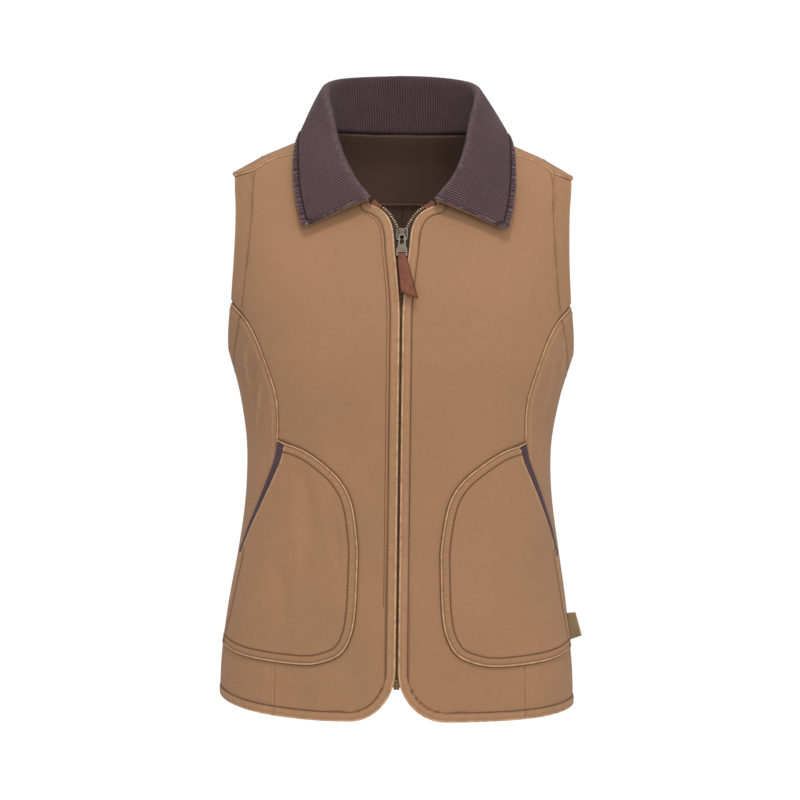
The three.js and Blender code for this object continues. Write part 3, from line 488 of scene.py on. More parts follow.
def patch(left, right, bottom, top, step=PANEL_STEP, edge=EDGE_ROWS):
    """Grid of places filling four lines: left and right run up, bottom and top run across."""
    across, up = split(bottom, top, step, edge), split(left, right, step, edge)
    s, t = across[None, :, None], up[:, None, None]
    low = sampled(bottom, across)[None] - (bottom[0] + (bottom[-1] - bottom[0]) * s)
    high = sampled(top, across)[None] - (top[0] + (top[-1] - top[0]) * s)
    a, b = sampled(left, up)[:, None], sampled(right, up)[:, None]
    return a + (b - a) * s + (1 - t) * low + t * high


def shifted(places, side, distance):
    """A line of places moved sideways on the body, to the left of its way, seen from outside, if positive."""
    points, normals = on_body(places, side)
    way = unit(np.cross(normals, np.gradient(points, axis=0))) * distance
    angle, z = places[:, 0] * side, places[:, 1]
    slopes = np.stack(body_slopes(angle, z), 2)
    steps = np.einsum("nij,nj->ni", np.linalg.pinv(slopes), way)
    return np.stack([(angle + steps[:, 0]) * side, z + steps[:, 1]], 1)


def beside(line, side, distance):
    """Points and normals of a line at a distance from another; the two sides mirror each other."""
    return on_body(shifted(line, side, side * distance), side)


class Track:
    """A line on the cloth that tells how far places lie from it, and how far along it."""

    def __init__(self, points, spacing=0.3):
        walked = lengths(points)
        self.where = np.linspace(0, walked[-1], max(2, int(walked[-1] / spacing)))
        self.tree = KDTree(len(self.where))
        for i, p in enumerate(at_lengths(points, self.where, walked)):
            self.tree.insert(p, i)
        self.tree.balance()

    def near(self, points):
        found = [self.tree.find(p) for p in points]
        return np.array([f[2] for f in found]), self.where[[f[1] for f in found]]


def track(places, side):
    return Track(on_body(places, side)[0])


# Relief of the cloth, as rows of lift, wear and painted highlight, painted shade, and rib height

def rows_of(lift, wear_and_highlight=0.0, painted_shade=0.0, wale=0.0):
    return np.stack(np.broadcast_arrays(lift, wear_and_highlight, painted_shade, wale))


def pucker(arc, part, period):
    """Uneven waves along a seam: all of them, or only their crests or hollows."""
    turn = 2 * np.pi * arc / period
    wave = np.sin(turn + PUCKER_SWING * np.sin(turn / PUCKER_SPREAD))
    return {"waves": wave, "crests": np.maximum(wave, 0), "hollows": np.maximum(-wave, 0)}[part]


def edge_form(table):
    """A table of forms, as a function of the distance from an edge and the way along it."""
    def form(d, arc):
        rows = {"lift": 0.0, "wear_and_highlight": 0.0, "painted_shade": 0.0}
        for row, shape, height, start, end, *ruck in table:
            share = bell(d, start, end) if shape == "ridge" else 1 - smooth(d, start, end)
            rows[row] = rows[row] + height * share * (pucker(arc, *ruck) if ruck else 1)
        return rows_of(**rows)
    return form


hemmed, lapped, tucked, armhole_edge = map(edge_form, (HEM_FORM, LAPPED_SEAM, TUCKED_SEAM, ARMHOLE_EDGE))
pocket_edge, mouth_edge, facing_edge = map(edge_form, (POCKET_EDGE, MOUTH_EDGE, FACING_EDGE))
collar_border, collar_end, tab_border = map(edge_form, (COLLAR_BORDER, COLLAR_END, TAB_BORDER))


def pressed_below(form):
    """A seam's form, pressed nearly flat over the first centimetres above the hem."""
    def faded(d, arc):
        return form(d, arc) * (PRESSED_SHARE + (1 - PRESSED_SHARE) * smooth(arc, PRESSED_TO, PRESSED_END))
    return faded


def waves(row, across, down, bend=0.0):
    height, (a, b), (c, d), start = row
    return height * np.sin(across / a + down / b) * np.sin(across / c + down / d + start + bend)


def drape(points):
    """Slight unevenness of hanging cloth, fading out towards the centre back."""
    round_body, z = np.arctan2(points[:, 0], -points[:, 1]) * BODY_RADIUS, points[:, 2]
    fade = smooth(np.pi * BODY_RADIUS - np.abs(round_body), 0, DRAPE_FADE)
    return rows_of(sum(waves(row, round_body, z) for row in DRAPE_WAVES) * fade)


def creased(side, piece):
    """Creases of a piece as (line, form) pairs."""
    parts = []
    for of_side, of_piece, height, width, rows in CREASES:
        if (of_side, of_piece) == (side, piece):
            line = track(ahead(along(rows, CREASE_STEPS), side), side)
            parts.append((line, crease_form(height, width, line.where[-1])))
    return parts


def crease_form(height, width, length):
    def form(d, arc):
        end = CREASE_END_SHARE * length
        lift = height * bell(d, 0, width) * smooth(arc, 0, end) * (1 - smooth(arc, length - end, length))
        # Crests get a painted highlight in step with their height
        return rows_of(lift, CREASE_HIGHLIGHT * np.maximum(lift, 0) / width)
    return form


def summed(*parts):
    """Relief made of (line, form) pairs, as a function of points."""
    def relief(points):
        return drape(points) + sum(form(*line.near(points)) for line, form in parts)
    return relief


# Meshes

def add_mesh(name, points, faces, materials, of_face=None, uv=None, **attributes):
    """Smooth mesh object from points in millimetres."""
    mesh = bpy.data.meshes.new(name)
    mesh.from_pydata((points * MM).tolist(), [], faces)
    mesh.shade_smooth()
    for material in materials:
        mesh.materials.append(material)
    if of_face is not None:
        mesh.polygons.foreach_set("material_index", np.asarray(of_face, np.int32))
    for key, values in attributes.items():
        layer = mesh.attributes.new(key, "FLOAT", "POINT")
        layer.data.foreach_set("value", np.asarray(values, np.float32))
    if uv is not None:
        corners = np.zeros(len(mesh.loops), np.int32)
        mesh.loops.foreach_get("vertex_index", corners)
        layer = mesh.uv_layers.new(name="cloth")
        layer.data.foreach_set("uv", (uv[corners] * MM).astype(np.float32).ravel())
    mesh.update()
    made = bpy.data.objects.new(name, mesh)
    bpy.context.scene.collection.objects.link(made)
    return made


def dress(piece, body, slot, *nodes):
    """Puts a piece on its body, in place of solids, and hides those solids. The material slot is not used."""
    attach(piece, body)
    if nodes:
        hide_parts(*nodes)
    return piece


def quads(rows, columns, first=0):
    """Corner numbers of the cells of a grid whose points are numbered from first, row by row."""
    corner = first + np.arange(rows * columns).reshape(rows, columns)
    return np.stack([corner[:-1, :-1], corner[:-1, 1:], corner[1:, 1:], corner[1:, :-1]], -1).reshape(-1, 4)


class Shell:
    """A closed wall of cloth over one or more grids of points, with rounded edges."""

    def __init__(self, name, grids, bottom, top, relief, materials):
        points = np.concatenate([g[0].reshape(-1, 3) for g in grids])
        normals = np.concatenate([g[1].reshape(-1, 3) for g in grids])
        flat = np.concatenate([g[2].reshape(-1, 2) for g in grids])
        own = [g[3] if len(g) > 3 else np.zeros((4, *g[0].shape[:2])) for g in grids]
        own = np.concatenate([rows.reshape(4, -1) for rows in own], 1)
        starts = np.cumsum([0] + [g[0].shape[0] * g[0].shape[1] for g in grids])
        faces = np.concatenate([quads(*g[0].shape[:2], first) for g, first in zip(grids, starts)])
        _, keep, number = np.unique(np.round(points, 2), axis=0, return_index=True, return_inverse=True)
        points, normals, flat, faces = points[keep], normals[keep], flat[keep], number.ravel()[faces]
        own = own[:, keep]
        corners = [points[faces[:, k]] for k in range(4)]
        facing = np.cross(corners[2] - corners[0], corners[3] - corners[1])
        self.area = np.linalg.norm(facing, axis=1).sum() / 2
        turned = (facing * normals[faces[:, 0]]).sum(1) < 0
        faces[turned] = faces[turned, ::-1]
        border = self.border_of(faces)
        on_border = np.zeros(len(points), bool)
        on_border[border.ravel()] = True
        radius = (top - bottom) / 2
        lift, wear_and_highlight, painted_shade, wale = own + (relief(points) if relief else 0)
        inset = np.maximum(radius - self.border_distance(points, border), 0)
        drop = radius - np.sqrt(np.maximum(radius**2 - inset**2, 0))
        upper = points + normals * (top + lift - drop)[:, None]
        lower = points + normals * (bottom + INNER_SHARE * lift + drop)[:, None]
        behind = np.arange(len(points)) + len(points)
        behind[on_border] = np.flatnonzero(on_border)
        every = np.concatenate([faces, behind[faces][:, ::-1]])
        used, every = np.unique(every, return_inverse=True)
        every = every.reshape(-1, 4)
        both = np.concatenate([upper, lower])[used]
        lists = [list(dict.fromkeys(f)) for f in every.tolist()]
        of_face = np.repeat([0, len(materials) - 1], len(faces))
        good = [i for i, f in enumerate(lists) if len(f) > 2]
        rows = {"wear_and_highlight": wear_and_highlight, "painted_shade": painted_shade, "wale": wale}
        doubled = {key: np.clip(np.concatenate([row, row])[used], 0, 1) for key, row in rows.items()}
        self.piece = add_mesh(
            name, both, [lists[i] for i in good], materials, of_face[good],
            np.concatenate([flat, flat])[used], **doubled,
        )
        self.tree = None

    def settled(self, line, normals):
        """A line moved along its normals on to the surface, closely spaced."""
        mesh = self.piece.data
        if self.tree is None:
            corners = [v.co / MM for v in mesh.vertices]
            self.tree = BVHTree.FromPolygons(corners, [list(p.vertices) for p in mesh.polygons])
        walked = lengths(line)
        where = np.linspace(0, walked[-1], max(2, int(walked[-1] / SETTLE_STEP)))
        line, normals = at_lengths(line, where, walked), unit(at_lengths(normals, where, walked))
        rays = zip(line + normals * SETTLE_REACH, normals)
        hits = [self.tree.ray_cast(Vector(p), Vector(-n), 2 * SETTLE_REACH)[0] for p, n in rays]
        found = [i for i, hit in enumerate(hits) if hit is not None]
        return np.array([hits[i] for i in found]), normals[found]

    @staticmethod
    def border_of(faces):
        edges = np.concatenate([faces[:, [k, (k + 1) % 4]] for k in range(4)])
        edges = edges[edges[:, 0] != edges[:, 1]]
        _, first, count = np.unique(np.sort(edges, 1), axis=0, return_index=True, return_counts=True)
        return edges[first[count == 1]]

    @staticmethod
    def border_distance(points, border):
        """Distance of each point to the border, which is taken as closely spaced places."""
        a, b = points[border[:, 0]], points[border[:, 1]]
        steps = np.linspace(0, 1, BORDER_STEPS)[None, :, None]
        dense = (a[:, None] + (b - a)[:, None] * steps).reshape(-1, 3)
        tree = KDTree(len(dense))
        for i, p in enumerate(dense):
            tree.insert(p, i)
        tree.balance()
        return np.array([tree.find(p)[2] for p in points])


def cloth_grid(places, side):
    """A grid's points, normals and flat cloth coordinates."""
    points, normals = on_body(places, side)
    flat = np.stack([np.radians(places[..., 0] * side) * BODY_RADIUS, places[..., 1]], -1)
    return points, normals, flat


def sheet(name, node, slot, grids, wall, relief, materials, body="vest"):
    """A shell in place of a solid, put on its body. The length of its longest column is measured but not
    used.
    """
    shell = Shell(name, grids, *wall, relief, materials)
    dress(shell.piece, body, slot, node)
    long = max(lengths(column).max() for g in grids for column in g[0].swapaxes(0, 1)) * MM
    return shell


def seats(line, normals, where, reach):
    """Points, ways and normals at distances along a line; ways are measured over a reach to each side."""
    walked = lengths(line)
    way = at_lengths(line, where + reach, walked) - at_lengths(line, where - reach, walked)
    return at_lengths(line, where, walked), unit(way), unit(at_lengths(normals, where, walked))


def scattered(form, centres, axes, turn):
    """Copies of a small closed body, whose rings of corners lie along three axes at each centre."""
    rings = centres[:, None, None] + np.einsum("rca,nak->nrck", form, np.stack(axes, 1))
    corner = np.arange(rings[..., 0].size).reshape(rings.shape[:3])
    after = np.roll(corner, -1, 2)
    walls = np.stack([corner[:, :-1], after[:, :-1], after[:, 1:], corner[:, 1:]], -1)[..., ::turn]
    caps = np.stack([corner[:, 0, ::-turn], corner[:, -1, ::turn]], 1)
    faces = [[*w.tolist(), *c.tolist()] for w, c in zip(walls.reshape(len(centres), -1, 4), caps)]
    return rings.reshape(-1, 3), sum(faces, [])


# One stitch: share of its length, thickness and rise of each ring
STITCH_RINGS = ((-0.5, 0.35, -0.5), (-0.22, 1.0, 0.25), (0.22, 1.0, 0.25), (0.5, 0.35, -0.5))
STITCH_CORNERS = [(math.cos(math.pi * k / 3), math.sin(math.pi * k / 3)) for k in range(6)]
STITCH_FORM = np.array([
    [(share * STITCH_LENGTH, size * c * THREAD_RADIUS, (rise + size * s) * THREAD_RADIUS)
     for c, s in STITCH_CORNERS]
    for share, size, rise in STITCH_RINGS
])
STITCH_PROBE = 1.0


def stitches(name, shell, runs, material):
    """Thread along lines of points and normals on a shell: one small bent capsule for each stitch."""
    rows = []
    for line, normals in (shell.settled(*run) for run in runs):
        long = lengths(line)[-1]
        count = int(long / STITCH_PITCH)
        rows.append(seats(line, normals, (np.arange(count) + 0.5) * long / count, STITCH_PROBE))
    centre, way, up = (np.concatenate(column) for column in zip(*rows))
    points, faces = scattered(STITCH_FORM, centre, (way, np.cross(way, up), up), -1)
    dress(add_mesh(name, points, faces, [material]), "vest", None)


# Materials

def linear(red, green, blue):
    """Scene colour of a picture colour given from 0 to 255."""
    def one(v):
        v /= 255
        return v / 12.92 if v <= 0.04045 else ((v + 0.055) / 1.055) ** 2.4
    return (one(red), one(green), one(blue), 1.0)


# Length of one band of a wave texture of scale 1
WAVE_REPEAT = 2 * math.pi / 20


class Look:
    """A procedural material, built up node by node."""

    def __init__(self, name, **settings):
        self.material = bpy.data.materials.new(name)
        self.material.use_nodes = True
        self.tree = self.material.node_tree
        self.shader = self.tree.nodes["Principled BSDF"]
        for key, value in settings.items():
            self.shader.inputs[key.replace("_", " ")].default_value = value

    def node(self, kind, inputs=None, **properties):
        made = self.tree.nodes.new("ShaderNode" + kind)
        for key, value in properties.items():
            setattr(made, key, value)
        for key, value in (inputs or {}).items():
            if isinstance(value, bpy.types.NodeSocket):
                self.tree.links.new(value, made.inputs[key])
            else:
                made.inputs[key].default_value = value
        return made

    def link(self, socket, name):
        self.tree.links.new(socket, self.shader.inputs[name])

    def uv(self, stretch=(1, 1, 1)):
        place = self.node("UVMap", uv_map="cloth").outputs["UV"]
        return self.node("Mapping", {"Vector": place, "Scale": stretch}).outputs["Vector"]

    def noise(self, vector, scale, detail=3, rough=0.55):
        inputs = {"Vector": vector, "Scale": scale, "Detail": detail, "Roughness": rough}
        return self.node("TexNoise", inputs).outputs["Fac"]

    def solid_place(self):
        return self.node("TexCoord").outputs["Object"]

    def patches(self, vector, scale, detail, low, high, new_low=0.0, new_high=1.0):
        """Uneven patches of a scale, spread out between two limits."""
        return self.ranged(self.noise(vector, scale, detail), low, high, new_low, new_high)

    def ranged(self, value, low, high, new_low=0.0, new_high=1.0):
        inputs = {"Value": value, "From Min": low, "From Max": high, "To Min": new_low, "To Max": new_high}
        return self.node("MapRange", inputs).outputs["Result"]

    def maths(self, operation, a, b):
        return self.node("Math", {0: a, 1: b}, operation=operation).outputs[0]

    def times(self, a, b):
        return self.maths("MULTIPLY", a, b)

    def mix(self, factor, a, b, blend="MIX"):
        """Mix of two colours, each a socket or a picture colour."""
        made = self.node("Mix", data_type="RGBA", blend_type=blend)
        for key, value in (("Factor_Float", factor), ("A_Color", a), ("B_Color", b)):
            socket = next(s for s in made.inputs if s.identifier == key)
            if isinstance(value, bpy.types.NodeSocket):
                self.tree.links.new(value, socket)
            else:
                socket.default_value = linear(*value) if isinstance(value, tuple) else value
        return next(s for s in made.outputs if s.identifier == "Result_Color")

    def attribute(self, name):
        return self.node("Attribute", attribute_name=name).outputs["Fac"]

    def used(self, colour, light, dark, patches, wear_and_highlight, painted_shade):
        """A colour made paler where the cloth is worn and where highlight is painted, in patches, and darker
        where shade is painted.
        """
        pale_share = self.times(self.attribute("wear_and_highlight"), patches)
        colour = self.mix(self.times(pale_share, wear_and_highlight), colour, light)
        return self.mix(self.times(self.attribute("painted_shade"), painted_shade), colour, dark)

    def wave(self, vector, pitch, direction, distortion=0.0):
        """Bands of a pitch in metres."""
        inputs = {"Vector": vector, "Scale": WAVE_REPEAT / pitch, "Distortion": distortion, "Detail": 1.0}
        return self.node("TexWave", inputs, bands_direction=direction).outputs["Fac"]

    def bump(self, height, distance, strength=1.0):
        made = self.node("Bump", {"Height": height, "Distance": distance, "Strength": strength})
        self.link(made.outputs["Normal"], "Normal")


# Weave: wander of the threads, weft pitch against warp pitch, and stretch of the slubs both ways
THREAD_WANDER, WEFT_SHARE, SLUBS_UP, SLUBS_ACROSS = 0.6, 1.12, (1500, 90, 1), (110, 1300, 1)

# Metal: stretch of the scratches, and radius of the bright edges, rubbed and with painted highlight, in
# millimetres
SCRATCHES, RUBBED_AND_HIGHLIGHT_RADIUS = (900, 900, 6000), 0.5

# Depths of the bumps in metres
WEAVE_DEPTH, TUFT_DEPTH, GRAIN_DEPTH, SCRATCH_DEPTH = 0.00022, 0.0005, 0.00012, 0.00002


def woven(name, base, light, dark, thread=0.75, tint=None, **settings):
    """Plain woven cotton: threads both ways, slubs, cloudy tints, ridges paler from wear and painted
    highlight, and painted shade in its seams and grooves.
    """
    look = Look(name, **settings)
    flat, place = look.uv(), look.solid_place()
    warp = look.wave(flat, thread * MM, "X", THREAD_WANDER)
    weft = look.wave(flat, thread * WEFT_SHARE * MM, "Y", THREAD_WANDER)
    slubs = look.maths("ADD", *[look.noise(look.uv(stretch), 1.0, 2) for stretch in (SLUBS_UP, SLUBS_ACROSS)])
    colour = look.mix(look.patches(place, 9.0, 4, 0.3, 0.7), base, tint or base)
    speck = look.ranged(slubs, 0.75, 1.25, 0.9, 1.1)
    colour = look.mix(0.55, colour, look.mix(1.0, colour, speck, "MULTIPLY"))
    patches = look.patches(place, 160.0, 2, 0.25, 0.6)
    look.link(look.used(colour, light, dark, patches, wear_and_highlight=0.85, painted_shade=0.8), "Base Color")
    height = look.maths("ADD", look.times(look.times(warp, weft), 0.8), look.times(slubs, 0.7))
    look.bump(height, WEAVE_DEPTH)
    return look.material


def pile(name, base, light, dark, **settings):
    """Corduroy: tufted ribs with painted highlight on their tops and painted shade between them, and edges
    made paler by wear and painted highlight.
    """
    look = Look(name, **settings)
    place = look.solid_place()
    tuft = look.noise(place, 1900.0, 2, 0.7)
    colour = look.mix(look.patches(place, 22.0, 4, 0.3, 0.7), base, dark)
    # Painted shade in the gaps between ribs and painted highlight on their tops, by rib height
    rib = look.ranged(look.attribute("wale"), 0.35, 1.0, 0.0, 0.5)
    colour = look.mix(rib, look.mix(0.3, colour, dark), light)
    colour = look.mix(look.ranged(tuft, 0.35, 0.75, 0.0, 0.25), colour, light)
    patches = look.patches(place, 260.0, 3, 0.35, 0.65)
    look.link(look.used(colour, light, dark, patches, wear_and_highlight=0.8, painted_shade=0.85), "Base Color")
    look.bump(tuft, TUFT_DEPTH)
    return look.material


def hide(name, base, dark, **settings):
    """Leather with a fine pebbled grain and uneven dye."""
    look = Look(name, **settings)
    place = look.solid_place()
    grain = look.node("TexVoronoi", {"Vector": place, "Scale": 1400.0}).outputs["Distance"]
    look.link(look.mix(look.patches(place, 130.0, 4, 0.3, 0.7), base, dark), "Base Color")
    look.link(look.patches(place, 300.0, 3, 0.3, 0.7, 0.42, 0.62), "Roughness")
    look.bump(look.maths("ADD", grain, look.noise(place, 500.0, 3)), GRAIN_DEPTH)
    return look.material


def metal(name, base, dark, bright):
    """Aged metal: darker in patches, bright along its edges as rubbed metal and painted highlight, with fine
    scratches.
    """
    look = Look(name, Metallic=1.0)
    place = look.solid_place()
    rounded = look.node("Bevel", {"Radius": RUBBED_AND_HIGHLIGHT_RADIUS * MM}, samples=6).outputs["Normal"]
    flat = look.node("NewGeometry").outputs["Normal"]
    turned = look.node("VectorMath", {0: rounded, 1: flat}, operation="DOT_PRODUCT").outputs["Value"]
    tarnished = look.mix(look.patches(place, 420.0, 5, 0.35, 0.7), base, dark)
    look.link(look.mix(look.ranged(turned, 0.99, 0.86), tarnished, bright), "Base Color")
    scratch = look.noise(look.node("Mapping", {"Vector": place, "Scale": SCRATCHES}).outputs[0], 1.0, 2)
    look.link(look.ranged(scratch, 0.2, 0.8, 0.26, 0.46), "Roughness")
    look.bump(scratch, SCRATCH_DEPTH)
    return look.material


def thread_look(name, base, light):
    look = Look(name, Roughness=0.85, Specular_IOR_Level=0.1)
    look.link(look.mix(look.patches(look.solid_place(), 700.0, 2, 0.3, 0.7), base, light), "Base Color")
    return look.material


# Woven looks: base colour, a paler colour for wear and painted highlight, and a dark colour for painted shade
CANVAS = woven(
    "canvas", (127, 96, 70), (190, 152, 114), (52, 30, 18), tint=(134, 99, 72),
    Roughness=0.9, Sheen_Weight=0.04, Sheen_Roughness=0.5, Specular_IOR_Level=0.15,
)
LINING = woven("lining", (69, 46, 35), (95, 69, 54), (36, 24, 18), Roughness=0.9)
FACING = woven("facing", (69, 46, 34), (116, 87, 68), (38, 25, 20), Roughness=0.9)
TAPE = woven("zip_tape", (42, 29, 23), (80, 60, 47), (30, 20, 16), thread=0.6, Roughness=0.85)
LABEL = woven("label", (110, 90, 61), (146, 122, 88), (72, 55, 36), thread=0.5, Roughness=0.85)
# Corduroy: base colour, a paler colour for wear and painted highlight on rib tops, and a dark colour for
# darker patches and painted shade
CORDUROY = pile(
    "corduroy", (55, 38, 40), (106, 84, 88), (30, 20, 23),
    Roughness=0.92, Sheen_Weight=0.06, Sheen_Roughness=0.4, Specular_IOR_Level=0.12,
)
LEATHER = hide("leather", (100, 54, 36), (80, 42, 28), Specular_IOR_Level=0.15)
PEWTER = metal("pewter", (62, 57, 50), (42, 38, 32), (116, 109, 98))
DULL_PEWTER = metal("dull_pewter", (46, 40, 35), (30, 26, 22), (120, 111, 99))
BRASS = metal("brass", (184, 164, 128), (122, 100, 70), (232, 216, 182))
# A darker copy of the brass, a painted shade for metal sitting in the gap between the panels
SHADED_BRASS = metal("shaded_brass", (112, 88, 62), (60, 45, 31), (196, 168, 126))
THREAD = thread_look("thread", (60, 35, 22), (82, 51, 34))
COLLAR_THREAD = thread_look("collar_thread", (24, 17, 19), (38, 28, 31))


# Outlines as lines of places

def princess(side, offset=0.0):
    """Princess seam from the hem to the armhole, moved outwards except at its upper end."""
    foot = np.array([(PRINCESS_FOOT_X, HEM_Z)], float)
    rise = hem_height(ahead(foot, side)[0, 0], side)
    rows = [(PRINCESS_FOOT_X, rise), *PRINCESS_SEAM]
    line = along(rows, 16 * LINE_FACETS)
    left = lengths(line)[-1] - lengths(line)
    line[:, 0] += offset * smooth(left, 0, SEAM_TAPER)
    return line


def hem_height(angle, side):
    return HEM_Z + HEM_RISE[side] * np.sin(np.radians(angle)) ** HEM_SIDE_POWER


def hem_between(start, end, count, side):
    angle = np.linspace(start, end, count + 1)
    return np.stack([angle, hem_height(angle, side)], 1)


def front_lines(side):
    """The front panel's outline: zip edge and neck, seam and armhole, hem, shoulder, and the turned edge."""
    x0 = ZIP_EDGE[0][0]
    turn = np.linspace(np.pi, 1.5 * np.pi, 6 * LINE_FACETS + 1)
    corner = np.stack([
        x0 + HEM_CORNER_ACROSS * (1 + np.cos(turn)),
        HEM_Z + HEM_CORNER_UP * (1 + np.sin(turn)),
    ], 1)
    half = 3 * LINE_FACETS
    seam = princess(side, SEAM_UNDER)
    rise = along([corner[0], ZIP_EDGE[0]], 11 * LINE_FACETS)
    zip_edge = along(ZIP_EDGE, 4 * LINE_FACETS)
    level = along([corner[-1], seam[0]], 6 * LINE_FACETS)
    share = (level[:, 0] - corner[-1, 0]) / (seam[0, 0] - corner[-1, 0])
    level[:, 1] = HEM_Z + (seam[0, 1] - HEM_Z) * share**HEM_FRONT_POWER
    neck, armhole = along(FRONT_NECK, 6 * LINE_FACETS), along(FRONT_ARMHOLE, 8 * LINE_FACETS)
    shoulder = along(SHOULDER_SEAM, 9 * LINE_FACETS) + (0, SEAM_UNDER)
    lines = {
        "inner": np.concatenate([joined(corner[half::-1], rise, zip_edge, neck), shoulder[:1]]),
        "outer": np.concatenate([joined(seam, armhole), shoulder[-1:]]),
        "hem": joined(corner[half:], level),
        "shoulder": shoulder,
        "edge": joined(level[::-1], corner[::-1], rise, zip_edge),
        "seam": seam,
        "armhole": armhole,
    }
    return {name: ahead(line, side) for name, line in lines.items()}


def side_lines(side):
    seam = ahead(princess(side, SEAM_GAP / 2), side)
    back = np.stack([180 - seam[:, 0], seam[:, 1]], 1)
    return {
        "seam": seam,
        "back": back,
        "hem": hem_between(seam[0, 0], back[0, 0], 14 * LINE_FACETS, side),
        "underarm": along([seam[-1], *UNDERARM, back[-1]], 14 * LINE_FACETS, MM_PER_DEGREE),
    }


def back_lines(side):
    seam, under = (ahead(princess(side, reach), side) for reach in (0, SEAM_UNDER))
    seam, under = (np.stack([180 - line[:, 0], line[:, 1]], 1) for line in (seam, under))
    shoulder = ahead(along([(x, z + SEAM_GAP) for x, z in SHOULDER_SEAM], 9 * LINE_FACETS), side)
    armhole = along([seam[-1], *BACK_ARMHOLE, shoulder[-1]], 10 * LINE_FACETS, MM_PER_DEGREE)
    middle = (180, BACK_NECK_Z)
    neck = along([middle, *BACK_NECK, shoulder[0]], 7 * LINE_FACETS, MM_PER_DEGREE)
    centre = along([(180, HEM_Z), middle], 19 * LINE_FACETS)
    return {
        "centre": joined(centre, neck),
        "outer": joined(under, armhole),
        "hem": hem_between(180, under[0, 0], 9 * LINE_FACETS, side),
        "shoulder": shoulder,
        "seam": under,
        "armhole": armhole,
    }


# Body panels

SIDES = (("right", -1), ("left", 1))


def edges(lines, side, **forms):
    """Tracks of named lines, each with the form of the cloth beside it."""
    return [(track(lines[name], side), form) for name, form in forms.items()]


def panel(name, node, grids, parts, runs):
    """A lined canvas panel with the relief of its edges, and the stitch lines on it."""
    wall, materials = (-PANEL_WALL, 0), [CANVAS, LINING]
    shell = sheet(f"{name}_canvas", node, "canvas", grids, wall, summed(*parts), materials)
    stitches(f"{name}_thread", shell, runs, THREAD)


def front_panel(hand, side):
    lines = front_lines(side)
    pressed = pressed_below(tucked)
    parts = edges(lines, side, edge=hemmed, seam=pressed, shoulder=tucked, armhole=armhole_edge)
    grids = [cloth_grid(patch(lines["inner"], lines["outer"], lines["hem"], lines["shoulder"]), side)]
    runs = [beside(lines["edge"], side, -HEM_STITCH), beside(lines["armhole"], side, ARMHOLE_STITCH)]
    if hand == "right":
        second = beside(lines["edge"], side, -HEM_SECOND_STITCH)
        runs.append([rows[HEM_SECOND_FROM * LINE_FACETS:] for rows in second])
    panel(f"front_{hand}", f"front_panel_{hand}", grids, parts, runs)


def side_panel(hand, side):
    lines = side_lines(side)
    pressed = pressed_below(lapped)
    parts = edges(lines, side, hem=hemmed, seam=pressed, back=lapped, underarm=armhole_edge)
    parts += creased(side, "side")
    grids = [cloth_grid(patch(lines["seam"], lines["back"], lines["hem"], lines["underarm"]), side)]
    runs = [beside(lines["hem"], side, HEM_STITCH), beside(lines["underarm"], side, -ARMHOLE_STITCH)]
    panel(f"side_{hand}", f"side_panel_{hand}", grids, parts, runs)


def back_panel():
    """Two halves that meet along the centre back, with flat coordinates that run on across it."""
    grids, parts, runs, hems = [], [], [], []
    for _, side in SIDES:
        lines = back_lines(side)
        parts += edges(lines, side, seam=tucked, armhole=armhole_edge, shoulder=lapped)
        places = patch(lines["centre"], lines["outer"], lines["hem"], lines["shoulder"], BACK_STEP)
        points, normals, flat = cloth_grid(places, side)
        grids.append((points, normals, flat + (np.pi * BODY_RADIUS * (1 - side), 0)))
        runs += [beside(lines["hem"], side, -HEM_STITCH), beside(lines["armhole"], side, -ARMHOLE_STITCH)]
        hems.append(on_body(lines["hem"], side)[0])
    parts.append((Track(joined(hems[0][::-1], hems[1])), hemmed))
    panel("back", "back_panel", grids, parts, runs)


for hand, side in SIDES:
    front_panel(hand, side)
    side_panel(hand, side)
back_panel()


# Patch pockets with corduroy beside their mouths

def pocket_mouth(side, count):
    """The mouth's line, drawn in towards the zip between its ends."""
    line = along(POCKET_MOUTH, count)
    line[:, 0] -= POCKET_MOUTH_DRAW[side] * np.sin(np.linspace(0, np.pi, len(line)))
    return line


def flapped(places, lines, side):
    """A pocket's grid with its top edge drawn out over the end of the corduroy, up to the seam."""
    points = on_body(places, side)[0].reshape(-1, 3)
    d, arc = track(lines["top"], side).near(points)
    ramp = smooth(arc, arc.max() - POCKET_FLAP_FROM, arc.max())
    ramp *= 1 - smooth(d, POCKET_FLAP_FADE * POCKET_FLAP_DEPTH, POCKET_FLAP_DEPTH)
    return places + ramp.reshape(places.shape[:2])[..., None] * (lines["flap"][1] - lines["flap"][0])


def pocket_lines(side):
    sewn_side = along(POCKET_SIDE, 4 * LINE_FACETS)
    mouth = pocket_mouth(side, 7 * LINE_FACETS)
    parts = ((POCKET_TOP, 13), (POCKET_INNER, 22), (POCKET_BOTTOM[::-1], 13))
    top, inner, bottom = smooth_parts(*[(rows, count * LINE_FACETS) for rows, count in parts])
    lines = {
        "inner": inner[::-1],
        "outer": joined(sewn_side[::-1], mouth[::-1]),
        "bottom": bottom,
        "top": top[::-1],
        "sewn": joined(np.array([POCKET_FLAP_TIP, top[0]]), top, inner, bottom, sewn_side[::-1]),
        "mouth": mouth,
        "flap": np.array([top[0], POCKET_FLAP_TIP]),
    }
    return {name: ahead(line, side) for name, line in lines.items()}


